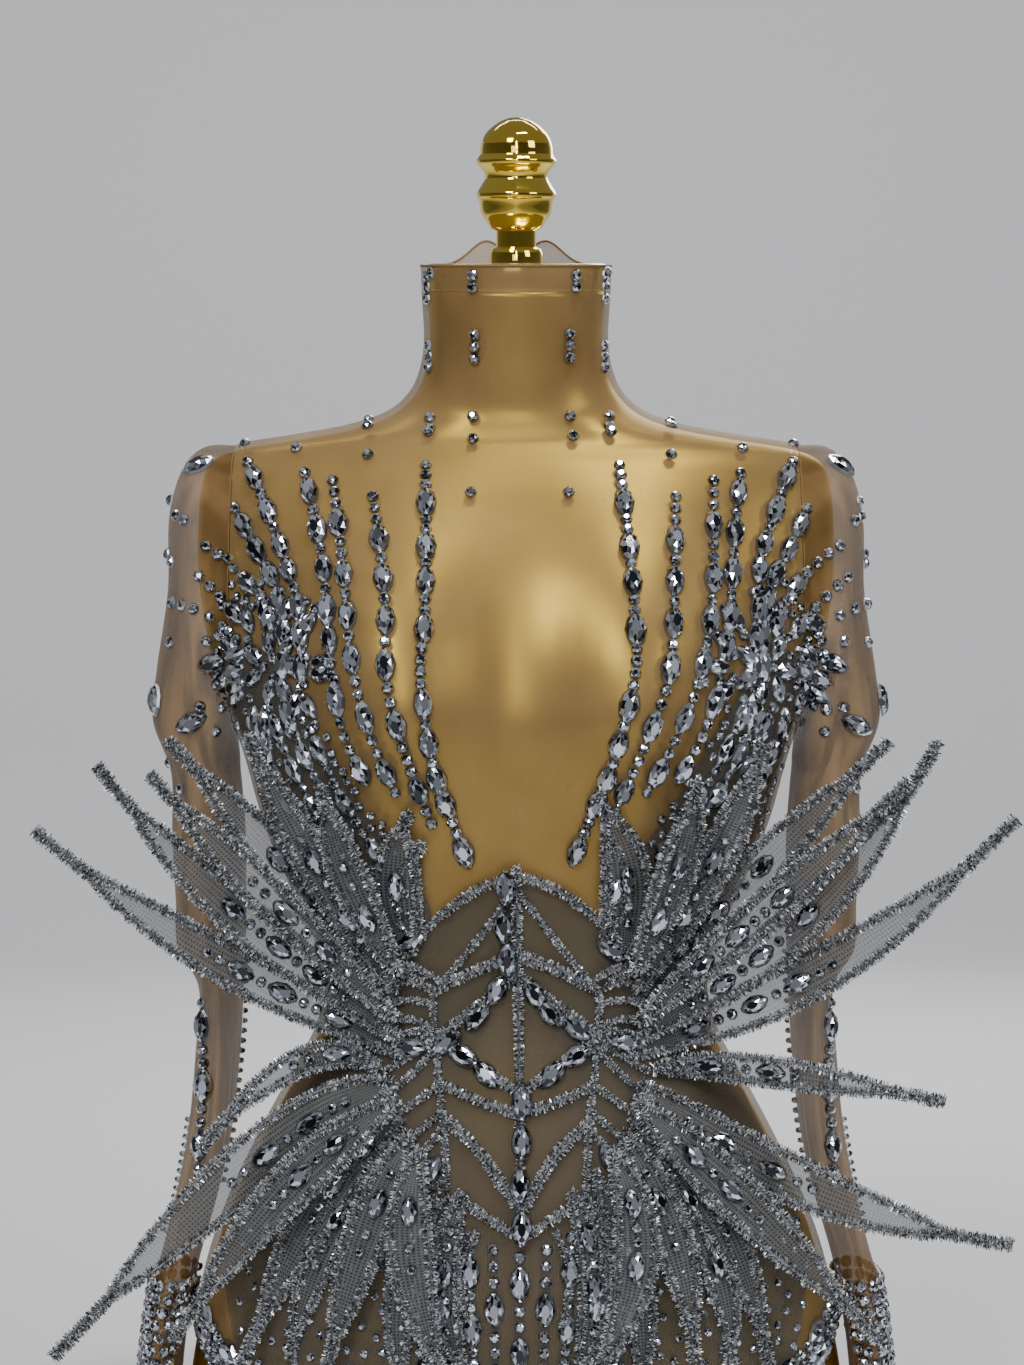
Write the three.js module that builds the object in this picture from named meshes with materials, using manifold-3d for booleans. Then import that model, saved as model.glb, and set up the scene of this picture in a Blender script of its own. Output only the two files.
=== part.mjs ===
// Stage bodysuit of skin-tone mesh on a limbless polished dress form.
// It has a high neck, long flattened sleeves, lines of cut stones and tinsel-edged fins at the waist.
// Millimetres, +Z up. The front faces -Y, and the origin is on the floor under the middle of the part.
import * as THREE from "three";
import { mergeVertices } from "three/addons/utils/BufferGeometryUtils.js";
import Module from "manifold-3d";

const wasm = await Module();
wasm.setup();

// Driving dimensions of the cloth
const clothWall = 1.3;
const clothGap = 1.9; // from the form to the inside of the cloth
const formInset = 1.1; // the solid form lies this far inside the sections, so that facets clear it
const seamGap = 0.3; // between two pieces along a seam
const restGap = 0.3; // between a trim and the cloth that it lies on
const armholeHalf = 165; // the armhole lies in the plane this far from the middle
const panelColumns = 14; // steps across the front panel

// Sections of the form from the collar's top edge down: height, half width, depth to the front and to
// the back of its centre, the centre's place, the slope of the section and the power of its outline.
const sections = [
  { z: 750, half: 54.0, front: 54, back: 54, centre: -16, slope: 0.17, power: 2.0 },
  { z: 734, half: 53.6, front: 54, back: 54, centre: -14, slope: 0.17, power: 2.0 },
  { z: 708, half: 52.4, front: 52, back: 54, centre: -9, slope: 0.13, power: 2.0 },
  { z: 690, half: 55, front: 51, back: 56, centre: -5, slope: 0.1, power: 2.0 },
  { z: 675, half: 62, front: 50, back: 58, centre: -2, slope: 0.07, power: 2.0 },
  { z: 663, half: 76, front: 50, back: 60, centre: 0, slope: 0.04, power: 2.0 },
  { z: 654.5, half: 100, front: 50, back: 61, centre: 0, slope: 0.02, power: 2.0 },
  { z: 648, half: 134, front: 50, back: 60, centre: 0, slope: 0, power: 2.05 },
  { z: 643, half: 165, front: 51, back: 59, centre: 0, slope: 0, power: 2.1 },
  { z: 637, half: 181, front: 54, back: 61, centre: 0, slope: 0, power: 2.15 },
  { z: 626, half: 188, front: 60, back: 67, centre: 0, slope: 0, power: 2.2 },
  { z: 604, half: 191, front: 70, back: 79, centre: 0, slope: 0, power: 2.25 },
  { z: 565, half: 191, front: 84, back: 91, centre: 0, slope: 0, power: 2.25 },
  { z: 525, half: 185, front: 91, back: 95, centre: 0, slope: 0, power: 2.25 },
  { z: 495, half: 175, front: 94, back: 93, centre: 0, slope: 0, power: 2.25 },
  { z: 483, half: 169.2, front: 94.7, back: 92, centre: 0, slope: 0, power: 2.25 },
  { z: 476, half: 165, front: 95, back: 91, centre: 0, slope: 0, power: 2.25 },
  { z: 450, half: 157, front: 94, back: 87, centre: 0, slope: 0, power: 2.25 },
  { z: 434, half: 153, front: 93, back: 84, centre: 0, slope: 0, power: 2.25 },
  { z: 418, half: 148, front: 92, back: 81, centre: 0, slope: 0, power: 2.25 },
  { z: 402, half: 141.5, front: 90, back: 77.5, centre: 0, slope: 0, power: 2.25 },
  { z: 385, half: 134, front: 88, back: 74, centre: 0, slope: 0, power: 2.25 },
  { z: 350, half: 118, front: 85, back: 69, centre: 0, slope: 0, power: 2.2 },
  { z: 321, half: 111, front: 84, back: 67, centre: 0, slope: 0, power: 2.2 },
  { z: 292, half: 119, front: 86, back: 71, centre: 0, slope: 0, power: 2.2 },
  { z: 262, half: 136, front: 91, back: 81, centre: 0, slope: 0, power: 2.2 },
  { z: 228, half: 154, front: 96, back: 92, centre: 0, slope: 0, power: 2.2 },
  { z: 192, half: 171, front: 100, back: 103, centre: 0, slope: 0, power: 2.2 },
  { z: 160, half: 182, front: 101, back: 110, centre: 0, slope: 0, power: 2.2 },
  { z: 126, half: 189.5, front: 99, back: 114, centre: 0, slope: 0, power: 2.2 },
  { z: 93, half: 195, front: 94, back: 113, centre: 0, slope: 0, power: 2.2 },
  { z: 70, half: 197, front: 86, back: 107, centre: 0, slope: 0, power: 2.2 },
  { z: 56, half: 192, front: 74, back: 95, centre: 0, slope: 0, power: 2.2 },
  { z: 47, half: 178, front: 56, back: 76, centre: 0, slope: 0, power: 2.2 },
  { z: 42, half: 150, front: 34, back: 52, centre: 0, slope: 0, power: 2.2 },
];
const lastSection = sections.length - 1;
const formTop = 0.95; // the section, counted from the top, where the form's neck ends under its cap
const armholeTop = 8;
const armholeFoot = 16;
const hipSection = 28; // below this section the panels run down to the leg openings
const legRows = 5;

// Soft rounds of the form: where each is highest, how far it stands out and how wide it spreads
const bust = { x: 76, z: 490, out: 35, across: 54, above: 84, below: 54 };
const seat = { x: 78, z: 128, out: 20, across: 62, above: 80, below: 60 };

// The leg opening's edge: the share of the half width, and how many sections below the hip's the
// cloth reaches there
const legEdge = [
  { share: 0, front: 5, back: 5 },
  { share: 0.18, front: 5, back: 5 },
  { share: 0.38, front: 4.4, back: 4.6 },
  { share: 0.62, front: 3.2, back: 3.6 },
  { share: 0.86, front: 1.9, back: 2.2 },
  { share: 1, front: 0.8, back: 0.8 },
];

// The back collar's two peaks: how far each is from the middle, how high it rises and how wide it is
const collarPeak = { x: 18, rise: 15, spread: 14 };

// The form's two short stubs, which stand on the floor
const stub = { x: 115, y: 6, half: 73, front: 56, back: 66, top: 62, corner: 3, sides: 24 };

// The polished cap on the neck, and the turned finial: radius and height above the cap's top
const cap = { radius: 53.2, height: 16, edge: 1.5, lean: 0.17, sides: 28 };
const finialLean = 0.18;
const finialSides = 20;
const finialProfile = [
  { radius: 15.9, up: 0 },
  { radius: 15.9, up: 8.4 },
  { radius: 12.4, up: 10 },
  { radius: 12.4, up: 18.6 },
  { radius: 16.5, up: 22 },
  { radius: 20.2, up: 27 },
  { radius: 21.2, up: 33 },
  { radius: 23.3, up: 38.5 },
  { radius: 21.0, up: 43.5 },
  { radius: 17.6, up: 50 },
  { radius: 20.8, up: 55 },
  { radius: 23.6, up: 59 },
  { radius: 20.0, up: 62.5 },
  { radius: 19.6, up: 68 },
  { radius: 16.6, up: 76.5 },
  { radius: 10.4, up: 82.4 },
];
const finialTop = 84.6;

// Rings of the sleeve's head: the outer (far) and the inner (near) end of each, and its half depth
const headRings = [
  { farX: 186, farZ: 644.5, nearX: 169.2, nearZ: 476, depth: 51 },
  { farX: 199, farZ: 632, nearX: 169, nearZ: 472, depth: 53 },
  { farX: 207, farZ: 604, nearX: 168, nearZ: 467, depth: 52 },
  { farX: 208, farZ: 560, nearX: 167, nearZ: 462, depth: 50 },
  { farX: 215, farZ: 512, nearX: 166, nearZ: 457, depth: 48 },
  { farX: 218, farZ: 480, nearX: 165.5, nearZ: 450, depth: 46 },
  { farX: 207, farZ: 448, nearX: 164.5, nearZ: 440, depth: 44 },
];
const sleeveFullness = 0.85; // of a sleeve's section at its quarters: 1 is an ellipse, less is fuller
const headClear = 1.6; // from the form to the inside of the sleeve's head
// Sections of the sleeve below it: height, inner and outer side, half depth, centre in Y and wall
const sleeveSections = [
  { z: 412, inner: 162.5, outer: 206, depth: 43, centre: 2, wall: 1.3 },
  { z: 372, inner: 162, outer: 204, depth: 41, centre: 2, wall: 1.3 },
  { z: 344, inner: 162.5, outer: 203, depth: 40, centre: 3, wall: 1.3 },
  { z: 321, inner: 164, outer: 190.5, depth: 41, centre: 4, wall: 1.3 },
  { z: 282, inner: 166, outer: 192, depth: 39, centre: 3, wall: 1.3 },
  { z: 238, inner: 170, outer: 196, depth: 36, centre: 0, wall: 1.3 },
  { z: 198, inner: 178, outer: 203, depth: 34, centre: -3, wall: 1.3 },
  { z: 162, inner: 188, outer: 212, depth: 33, centre: -5, wall: 1.6 },
  { z: 150, inner: 190.5, outer: 216, depth: 34, centre: -6, wall: 2.6 },
  { z: 112, inner: 197, outer: 221, depth: 34, centre: -8, wall: 2.6 },
  { z: 72, inner: 201, outer: 224, depth: 35, centre: -9, wall: 2.6 },
];

// The tinsel cord that edges each fin, and the tulle web between its two edges
const tinselRadius = 2.7;
const web = 1.2;
const finSteps = 8;
const stationPower = 1.3; // brings the steps closer together near the root
const rootStep = 5.95; // at its root a fin lies this far in front of the layer behind it
const layerStep = 7.6; // and further out it stands this far in front
const finFullness = 0.7; // how soon a fin widens from its root: 1 is a plain sine, less is sooner
const forkAt = 0.86; // past this share of the length the two edges run together to the tip
const rootShare = 0.3; // the cord's thickness where its end is sewn down
const rootSunk = 0.35; // how far that end is drawn into the gap under it
const liftedAt = 0.008; // the share of the length at which a fin has risen to its layer
const tipShare = 0.75; // and past the fork
const closedShare = 0.4; // where the two edges meet, each lies this share of its thickness off the middle
const spreadBy = 0.2; // and from this share of the length on it stands that far
// The fans stand off the body: depth near it and at the tips, and where each is reached
const fan = { near: 62, far: 114, from: 70, to: 262, ease: 6 };

// Fins of each fan: root, a middle point and tip, each as x and z on the front, and the full width.
// They lie in three layers by turns: the first on the cloth, the others in front of it.
const finLayers = 3;
const fans = [
  {
    name: "fin_upper_left",
    fins: [
      { rootX: -62, rootZ: 292, midX: -165, midZ: 345, tipX: -267, tipZ: 421, width: 26 },
      { rootX: -66, rootZ: 301, midX: -156, midZ: 372, tipX: -232, tipZ: 457, width: 26 },
      { rootX: -68, rootZ: 311.5, midX: -143, midZ: 386, tipX: -203, tipZ: 452, width: 24 },
      { rootX: -69, rootZ: 318, midX: -134, midZ: 400, tipX: -195, tipZ: 470, width: 26 },
      { rootX: -69, rootZ: 327, midX: -119, midZ: 408, tipX: -152, tipZ: 473, width: 24 },
      { rootX: -67, rootZ: 338, midX: -96, midZ: 398, tipX: -109, tipZ: 445, width: 24 },
      { rootX: -60, rootZ: 347, midX: -68, midZ: 392, tipX: -60, tipZ: 430, width: 29 },
    ],
  },
  {
    name: "fin_upper_right",
    fins: [
      { rootX: 62, rootZ: 292, midX: 168, midZ: 338, tipX: 277, tipZ: 427, width: 28 },
      { rootX: 66, rootZ: 300, midX: 160, midZ: 368, tipX: 233, tipZ: 470, width: 26 },
      { rootX: 68, rootZ: 309, midX: 147, midZ: 380, tipX: 216, tipZ: 448, width: 24 },
      { rootX: 69, rootZ: 318, midX: 138, midZ: 396, tipX: 208, tipZ: 470, width: 26 },
      { rootX: 69, rootZ: 327, midX: 116, midZ: 408, tipX: 140, tipZ: 468, width: 24 },
      { rootX: 67, rootZ: 338, midX: 92, midZ: 402, tipX: 100, tipZ: 448, width: 24 },
      { rootX: 60, rootZ: 347, midX: 62, midZ: 396, tipX: 44, tipZ: 440, width: 29 },
    ],
  },
  {
    name: "fin_lower_left",
    fins: [
      { rootX: -78, rootZ: 283, midX: -125, midZ: 285, tipX: -178, tipZ: 240, width: 18 },
      { rootX: -70, rootZ: 276, midX: -152, midZ: 228, tipX: -255, tipZ: 131, width: 36 },
      { rootX: -68, rootZ: 267, midX: -132, midZ: 214, tipX: -190, tipZ: 138, width: 28 },
      { rootX: -65, rootZ: 258, midX: -112, midZ: 204, tipX: -157, tipZ: 112, width: 28 },
      { rootX: -60, rootZ: 249, midX: -86, midZ: 188, tipX: -108, tipZ: 110, width: 26 },
      { rootX: -54, rootZ: 240, midX: -58, midZ: 180, tipX: -36, tipZ: 110, width: 27 },
    ],
  },
  {
    name: "fin_lower_right",
    fins: [
      { rootX: 78, rootZ: 283, midX: 152, midZ: 281, tipX: 238, tipZ: 270, width: 19 },
      { rootX: 70, rootZ: 276, midX: 158, midZ: 222, tipX: 273, tipZ: 193, width: 30 },
      { rootX: 68, rootZ: 267, midX: 132, midZ: 206, tipX: 202, tipZ: 138, width: 28 },
      { rootX: 65, rootZ: 258, midX: 116, midZ: 196, tipX: 144, tipZ: 112, width: 26 },
      { rootX: 60, rootZ: 249, midX: 88, midZ: 190, tipX: 100, tipZ: 122, width: 24 },
      { rootX: 54, rootZ: 240, midX: 66, midZ: 178, tipX: 36, tipZ: 108, width: 27 },
    ],
  },
];

// The centre ornament: tinsel arms on the cloth, each through a few places (x, z) of the front.
// Each arm off the middle is made on both sides.
const latticeRadius = 2.6;
const spine = { top: 399, foot: 188, shift: 3 };
const spineSteps = 10;
const armSteps = 4;
const latticeArms = [
  [[0, 394], [22, 386], [43, 371]],
  [[0, 350], [20, 342], [43, 331]],
  [[0, 338], [20, 322], [45, 303]],
  [[45, 303], [24, 288], [0, 271]],
  [[43, 276], [22, 267], [0, 260]],
  [[40, 257], [18, 234], [0, 206]],
  [[38, 216], [18, 203], [0, 192]],
];

// Large cut stones, and the lines in which they are sewn on each side of the front (x, z)
const navette = { long: 15, wide: 8.4, high: 3.2, sunk: 0.8 };
const stoneLines = [
  { count: 8, places: [[51, 598], [52, 542], [53, 512], [49, 463], [28, 402]] },
  { count: 5, places: [[77, 581], [73, 540], [72, 508], [63, 472]] },
  { count: 5, places: [[99, 584], [95, 536], [90, 509], [80, 472]] },
  { count: 6, places: [[116, 616], [108, 568], [104, 530], [97, 487]] },
  { count: 6, places: [[148, 620], [132, 573], [123, 540], [124, 490]] },
  { count: 4, places: [[152, 588], [141, 566], [135, 540], [136, 514]] },
];

// The zip at the centre back, its slider and the pull tab that swings on the slider's bridge
const zip = { width: 6, top: 0.3, foot: 25, last: 24, wall: 1.6 };
const slider = {
  at: 1.1, width: 8.6, height: 13, thick: 2, cheek: 1.2, cheekLong: 4, bar: 0.8, rise: 2.5, crown: 0.4,
};
const pull = { width: 4.6, length: 23, thick: 1.4, eye: 2, clear: 0.3 };

const group = new THREE.Group();

const skinMesh = new THREE.MeshStandardMaterial({ color: 0xb8906c, roughness: 0.55, metalness: 0 });
const polish = new THREE.MeshStandardMaterial({ color: 0xb8892c, roughness: 0.12, metalness: 1 });
const brightPolish = new THREE.MeshStandardMaterial({ color: 0xd6ad2a, roughness: 0.08, metalness: 1 });
const tinsel = new THREE.MeshStandardMaterial({ color: 0xb4b8bc, roughness: 0.3, metalness: 0.8 });
const zipCloth = new THREE.MeshStandardMaterial({ color: 0xb08a68, roughness: 0.6, metalness: 0 });
const zipMetal = new THREE.MeshStandardMaterial({ color: 0xc9a44a, roughness: 0.3, metalness: 1 });

function put(name, geometry, material) {
  const mesh = new THREE.Mesh(geometry, material.clone());
  mesh.name = name;
  group.add(mesh);
  return mesh;
}

// A smooth curve through evenly counted values
function through(a, b, c, d, s) {
  return 0.5 * (2 * b + (c - a) * s + (2 * a - 5 * b + 4 * c - d) * s * s + (3 * b - a - 3 * c + d) * s ** 3);
}

// The form's section at a place t, counted in rows of the table
function sectionAt(t) {
  const row = Math.min(Math.max(Math.floor(t), 0), lastSection - 1);
  const at = (i) => sections[Math.min(Math.max(i, 0), lastSection)];
  const found = {};
  for (const key of Object.keys(sections[0])) {
    found[key] = through(at(row - 1)[key], at(row)[key], at(row + 1)[key], at(row + 2)[key], t - row);
  }
  return found;
}

// A soft round's height at a place, one on each side of the middle
function roundAt(soft, x, z) {
  const rise = (z - soft.z) / (z > soft.z ? soft.above : soft.below);
  const side = (centre) => Math.exp(-(((x - centre) / soft.across) ** 2));
  return soft.out * Math.exp(-rise * rise) * (side(soft.x) + side(-soft.x));
}

// A point of the form. Angle 0 is the right side, a quarter turn is the front.
function formPoint(angle, t) {
  const s = sectionAt(t);
  const c = Math.cos(angle);
  const d = Math.sin(angle);
  const x = s.half * Math.sign(c) * Math.abs(c) ** (2 / s.power);
  const depth = Math.abs(d) ** (2 / s.power);
  const y = d > 0
    ? s.centre - s.front * depth - roundAt(bust, x, s.z) * Math.abs(d)
    : s.centre + s.back * depth + roundAt(seat, x, s.z) * Math.abs(d);
  return new THREE.Vector3(x, y, s.z + s.slope * (y - s.centre));
}

function formNormal(angle, t) {
  const step = 0.01;
  const low = Math.max(t - step, 0);
  const high = Math.min(t + step, lastSection);
  const across = formPoint(angle + step, t).sub(formPoint(angle - step, t));
  const down = formPoint(angle, high).sub(formPoint(angle, low));
  return across.cross(down).normalize();
}

// A point that stands off the form
function offForm(angle, t, off) {
  return formPoint(angle, t).addScaledVector(formNormal(angle, t), off);
}

// The section place, counted in rows, at a height below the neck
function rowAt(z) {
  let low = 1;
  let high = lastSection;
  for (let i = 0; i < 30; i++) {
    const middle = (low + high) / 2;
    if (sectionAt(middle).z > z) low = middle;
    else high = middle;
  }
  return low;
}

// The form's depth in front of the middle plane, or behind it, at a place (x, z)
function depthAt(side, x, z) {
  const s = sectionAt(rowAt(z));
  const share = Math.min(Math.abs(x) / s.half, 1);
  const depth = (1 - share ** s.power) ** (1 / s.power);
  const soft = roundAt(side === "front" ? bust : seat, x, z) * depth ** (s.power / 2);
  return (side === "front" ? -s.centre : s.centre) + s[side] * depth + soft;
}

// The same, measured to a surface that stands off the form, so a steep place gives more
function depthOver(side, x, z, off) {
  const step = 1.5;
  const here = depthAt(side, x, z);
  const across = (depthAt(side, x + step, z) - depthAt(side, x - step, z)) / (2 * step);
  const up = (depthAt(side, x, z + step) - depthAt(side, x, z - step)) / (2 * step);
  return here + off * Math.min(Math.hypot(1, across, up), 2.5);
}

function geometryOf(points, faces) {
  let volume = 0;
  for (const [a, b, c] of faces) {
    volume += points[a].dot(new THREE.Vector3().crossVectors(points[b], points[c]));
  }
  const order = volume < 0 ? [0, 2, 1] : [0, 1, 2];
  const geometry = new THREE.BufferGeometry();
  geometry.setAttribute("position", new THREE.Float32BufferAttribute(points.flatMap((p) => p.toArray()), 3));
  geometry.setIndex(faces.flatMap((face) => order.map((i) => face[i])));
  return geometry;
}

function quad(faces, a, b, c, d) {
  faces.push([a, b, c], [a, c, d]);
}

// A solid through closed rings, with a flat end at each. From a place in the ring on, the faces can
// be split the other way, so that both sides of a thin web are split alike and don't meet.
function loft(rings, splitFrom = Infinity) {
  const count = rings[0].length;
  const points = rings.flat();
  const faces = [];
  for (let row = 0; row + 1 < rings.length; row++) {
    for (let i = 0; i < count; i++) {
      const next = (i + 1) % count;
      const corners = [row * count + i, row * count + next, (row + 1) * count + next, (row + 1) * count + i];
      if (i >= splitFrom) corners.push(corners.shift());
      quad(faces, ...corners);
    }
  }
  for (const [row, turn] of [[0, 1], [rings.length - 1, -1]]) {
    const hub = points.length;
    points.push(rings[row].reduce((sum, p) => sum.add(p), new THREE.Vector3()).divideScalar(count));
    for (let i = 0; i < count; i++) {
      const ends = [row * count + i, row * count + ((i + 1) % count)];
      faces.push(turn > 0 ? [hub, ends[1], ends[0]] : [hub, ends[0], ends[1]]);
    }
  }
  return geometryOf(points, faces);
}

// A wall between two grids of the same size. A tube's rows close on themselves.
function wallBetween(outer, inner, closes) {
  const rows = outer.length;
  const columns = outer[0].length;
  const points = [...outer.flat(), ...inner.flat()];
  const inside = rows * columns;
  const faces = [];
  const at = (row, column) => row * columns + (column % columns);
  const steps = closes ? columns : columns - 1;
  for (let row = 0; row + 1 < rows; row++) {
    for (let i = 0; i < steps; i++) {
      quad(faces, at(row, i), at(row, i + 1), at(row + 1, i + 1), at(row + 1, i));
      const within = [at(row, i), at(row + 1, i), at(row + 1, i + 1), at(row, i + 1)];
      quad(faces, ...within.map((place) => inside + place));
    }
  }
  for (let i = 0; i < steps; i++) {
    quad(faces, at(0, i + 1), at(0, i), inside + at(0, i), inside + at(0, i + 1));
    quad(faces, at(rows - 1, i), at(rows - 1, i + 1), inside + at(rows - 1, i + 1), inside + at(rows - 1, i));
  }
  for (let row = 0; row + 1 < rows && !closes; row++) {
    const last = columns - 1;
    quad(faces, at(row, 0), at(row + 1, 0), inside + at(row + 1, 0), inside + at(row, 0));
    quad(faces, at(row + 1, last), at(row, last), inside + at(row, last), inside + at(row + 1, last));
  }
  return geometryOf(points, faces);
}

function solidOf(geometry) {
  const bare = geometry.clone();
  bare.deleteAttribute("normal");
  bare.deleteAttribute("uv");
  const merged = mergeVertices(bare, 1e-4);
  return new wasm.Manifold(new wasm.Mesh({
    numProp: 3,
    vertProperties: new Float32Array(merged.attributes.position.array),
    triVerts: new Uint32Array(merged.index.array),
  }));
}

function geometryFrom(solid) {
  const result = solid.getMesh();
  const geometry = new THREE.BufferGeometry();
  geometry.setAttribute("position", new THREE.Float32BufferAttribute(result.vertProperties, 3));
  geometry.setIndex([...result.triVerts]);
  return geometry;
}

// The angle at which the armhole's plane cuts a section
function armholeAngle(t, half) {
  const s = sectionAt(t);
  return Math.acos(Math.min(1, (half / s.half) ** (s.power / 2)));
}

// How many sections below the hip's the cloth reaches at an angle
function legEdgeAt(angle, side) {
  const share = Math.abs(Math.cos(angle));
  const next = Math.max(1, legEdge.findIndex((row) => row.share >= share - 1e-9));
  const low = legEdge[next - 1];
  const high = legEdge[next];
  return low[side] + ((high[side] - low[side]) * (share - low.share)) / (high.share - low.share);
}

// Section places down a panel at an angle: the table's own rows, then rows to the leg opening
function panelRows(angle, side) {
  const rows = [...Array(hipSection + 1).keys()];
  for (let i = 1; i <= legRows; i++) rows.push(hipSection + (legEdgeAt(angle, side) * i) / legRows);
  return rows;
}

// A panel between two edges, each an angle worked out from the section place. Its top may rise.
function panel(side, columns, fromAngle, toAngle, riseAt) {
  const outer = [];
  const inner = [];
  const count = hipSection + 1 + legRows;
  for (let row = 0; row < count; row++) {
    outer.push([]);
    inner.push([]);
    for (let i = 0; i <= columns; i++) {
      const near = Math.min(row, hipSection);
      const start = fromAngle(near);
      const angle = start + ((toAngle(near) - start) * i) / columns;
      const t = panelRows(angle, side)[row];
      const rise = new THREE.Vector3(0, 0, row === 0 ? riseAt(formPoint(angle, t).x) : 0);
      outer[row].push(offForm(angle, t, clothGap + clothWall).add(rise));
      inner[row].push(offForm(angle, t, clothGap).add(rise));
    }
  }
  return wallBetween(outer, inner, false);
}

function sideAngle(t) {
  const open = t > armholeTop && t < armholeFoot ? armholeAngle(t, armholeHalf) : 0;
  return open + seamGap / 2 / sectionAt(t).half;
}

// A cut stone as a low pyramid that stands on a place of the cloth, along a direction
function stone(place, out, along) {
  const across = new THREE.Vector3().crossVectors(out, along).normalize();
  const ahead = new THREE.Vector3().crossVectors(across, out);
  const foot = (a, b) => place.clone().addScaledVector(ahead, a).addScaledVector(across, b)
    .addScaledVector(out, -navette.sunk);
  const points = [
    foot(navette.long / 2, 0),
    foot(0, navette.wide / 2),
    foot(-navette.long / 2, 0),
    foot(0, -navette.wide / 2),
    place.clone().addScaledVector(out, navette.high),
  ];
  return geometryOf(points, [[0, 1, 4], [1, 2, 4], [2, 3, 4], [3, 0, 4], [0, 2, 1], [0, 3, 2]]);
}

// Raises the large stones of every line on a front panel
function withStones(cloth) {
  let whole = solidOf(cloth);
  const target = new THREE.Mesh(cloth, new THREE.MeshStandardMaterial({ side: THREE.DoubleSide }));
  const farInFront = 400;
  const towards = new THREE.Vector3(0, 1, 0);
  for (const { count, places } of stoneLines) {
    const line = new THREE.CatmullRomCurve3(places.map(([x, z]) => new THREE.Vector3(x, 0, z)));
    for (let i = 0; i < count; i++) {
      for (const side of [-1, 1]) {
        const at = line.getPointAt(i / (count - 1));
        const along = line.getTangentAt(i / (count - 1));
        const from = new THREE.Vector3(at.x * side, -farInFront, at.z);
        const hit = new THREE.Raycaster(from, towards).intersectObject(target)[0];
        const course = new THREE.Vector3(along.x * side, 0, along.z);
        whole = whole.add(solidOf(stone(hit.point, hit.face.normal, course)));
      }
    }
  }
  return geometryFrom(whole);
}

// Front: one piece from side seam to side seam, up to the collar's top edge
const frontCloth = panel("front", panelColumns, sideAngle, (t) => Math.PI - sideAngle(t), () => 0);
put("bodysuit_front", withStones(frontCloth), skinMesh);

// Back: two pieces that meet at the zip and, below it, at the centre seam
function backEdge(t) {
  const gap = t < zip.foot ? zip.width / 2 + seamGap : seamGap / 2;
  const s = sectionAt(t);
  return Math.PI / 2 - Math.acos(Math.min(1, (gap / s.half) ** (s.power / 2)));
}
// The collar rises to a soft peak on each side of the zip
function collarRise(x) {
  return collarPeak.rise * Math.exp(-(((Math.abs(x) - collarPeak.x) / collarPeak.spread) ** 2));
}
const backTurn = (Math.PI * 3) / 2;
const backColumns = panelColumns / 2;
put("bodysuit_back_right", panel("back", backColumns,
  (t) => backTurn + backEdge(t), (t) => Math.PI * 2 - sideAngle(t), collarRise), skinMesh);
put("bodysuit_back_left", panel("back", backColumns,
  (t) => Math.PI + sideAngle(t), (t) => backTurn - backEdge(t), collarRise), skinMesh);

// Gusset: a strip under the form, between the two leg openings
function gusset() {
  const half = 30;
  const drop = 0.02; // the share of a section below the panels' edge where the strip begins
  const places = [-half, 0, half];
  const rowsAt = (off) => {
    const under = sections[lastSection].z - off;
    const edge = (side) => places.map((x) => {
      const t = lastSection - 1 + drop;
      const angle = Math.acos((x / sectionAt(t).half));
      return offForm(side > 0 ? angle : -angle, t, off);
    });
    const flat = (y) => places.map((x) => new THREE.Vector3(x, y, under));
    return [edge(1), flat(-sections[lastSection].front), flat(0), flat(sections[lastSection].back), edge(-1)];
  };
  return wallBetween(rowsAt(clothGap + clothWall), rowsAt(clothGap), false);
}
put("gusset", gusset(), skinMesh);

// Zip: a narrow strip of coil between the two back pieces, from the collar to the small of the back
function zipStrip() {
  const rows = [zip.top];
  for (let t = 1; t <= zip.last; t++) rows.push(t);
  const grid = (off) => rows.map((t) => [-1, 1].map((edge) => {
    const s = sectionAt(t);
    const share = ((edge * zip.width) / 2) / s.half;
    const turn = Math.sign(share) * (Math.PI / 2 - Math.acos(Math.abs(share) ** (s.power / 2)));
    return offForm(backTurn + turn, t, off);
  }));
  return wallBetween(grid(clothGap + zip.wall), grid(clothGap), false);
}
put("zip_coil", zipStrip(), zipCloth);

// The slider's own frame: X across, Y along the zip, Z away from the back
const sliderFrame = new THREE.Matrix4();
{
  const out = formNormal(backTurn, slider.at);
  const across = new THREE.Vector3(-1, 0, 0);
  const along = out.clone().cross(across);
  sliderFrame.makeBasis(across, along, out);
  sliderFrame.setPosition(offForm(backTurn, slider.at, clothGap + zip.wall + restGap));
}

function barAcross(radius, length, height) {
  const bar = new THREE.CylinderGeometry(radius, radius, length, 10);
  bar.rotateZ(Math.PI / 2);
  bar.translate(0, 0, height);
  return bar;
}

function sliderSolid() {
  const plate = new THREE.BoxGeometry(slider.width, slider.height, slider.thick);
  plate.translate(0, 0, slider.thick / 2);
  const inside = pull.width / 2 + pull.clear;
  const top = slider.thick + slider.rise + slider.bar + slider.crown;
  const bridge = barAcross(slider.bar, 2 * inside + slider.cheek, slider.thick + slider.rise);
  let whole = solidOf(plate).add(solidOf(bridge));
  for (const side of [-1, 1]) {
    const cheek = new THREE.BoxGeometry(slider.cheek, slider.cheekLong, top - slider.thick / 2);
    cheek.translate(side * (inside + slider.cheek / 2), 0, (top + slider.thick / 2) / 2);
    whole = whole.add(solidOf(cheek));
  }
  return geometryFrom(whole);
}
put("zip_slider", sliderSolid().applyMatrix4(sliderFrame), zipMetal);

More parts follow.
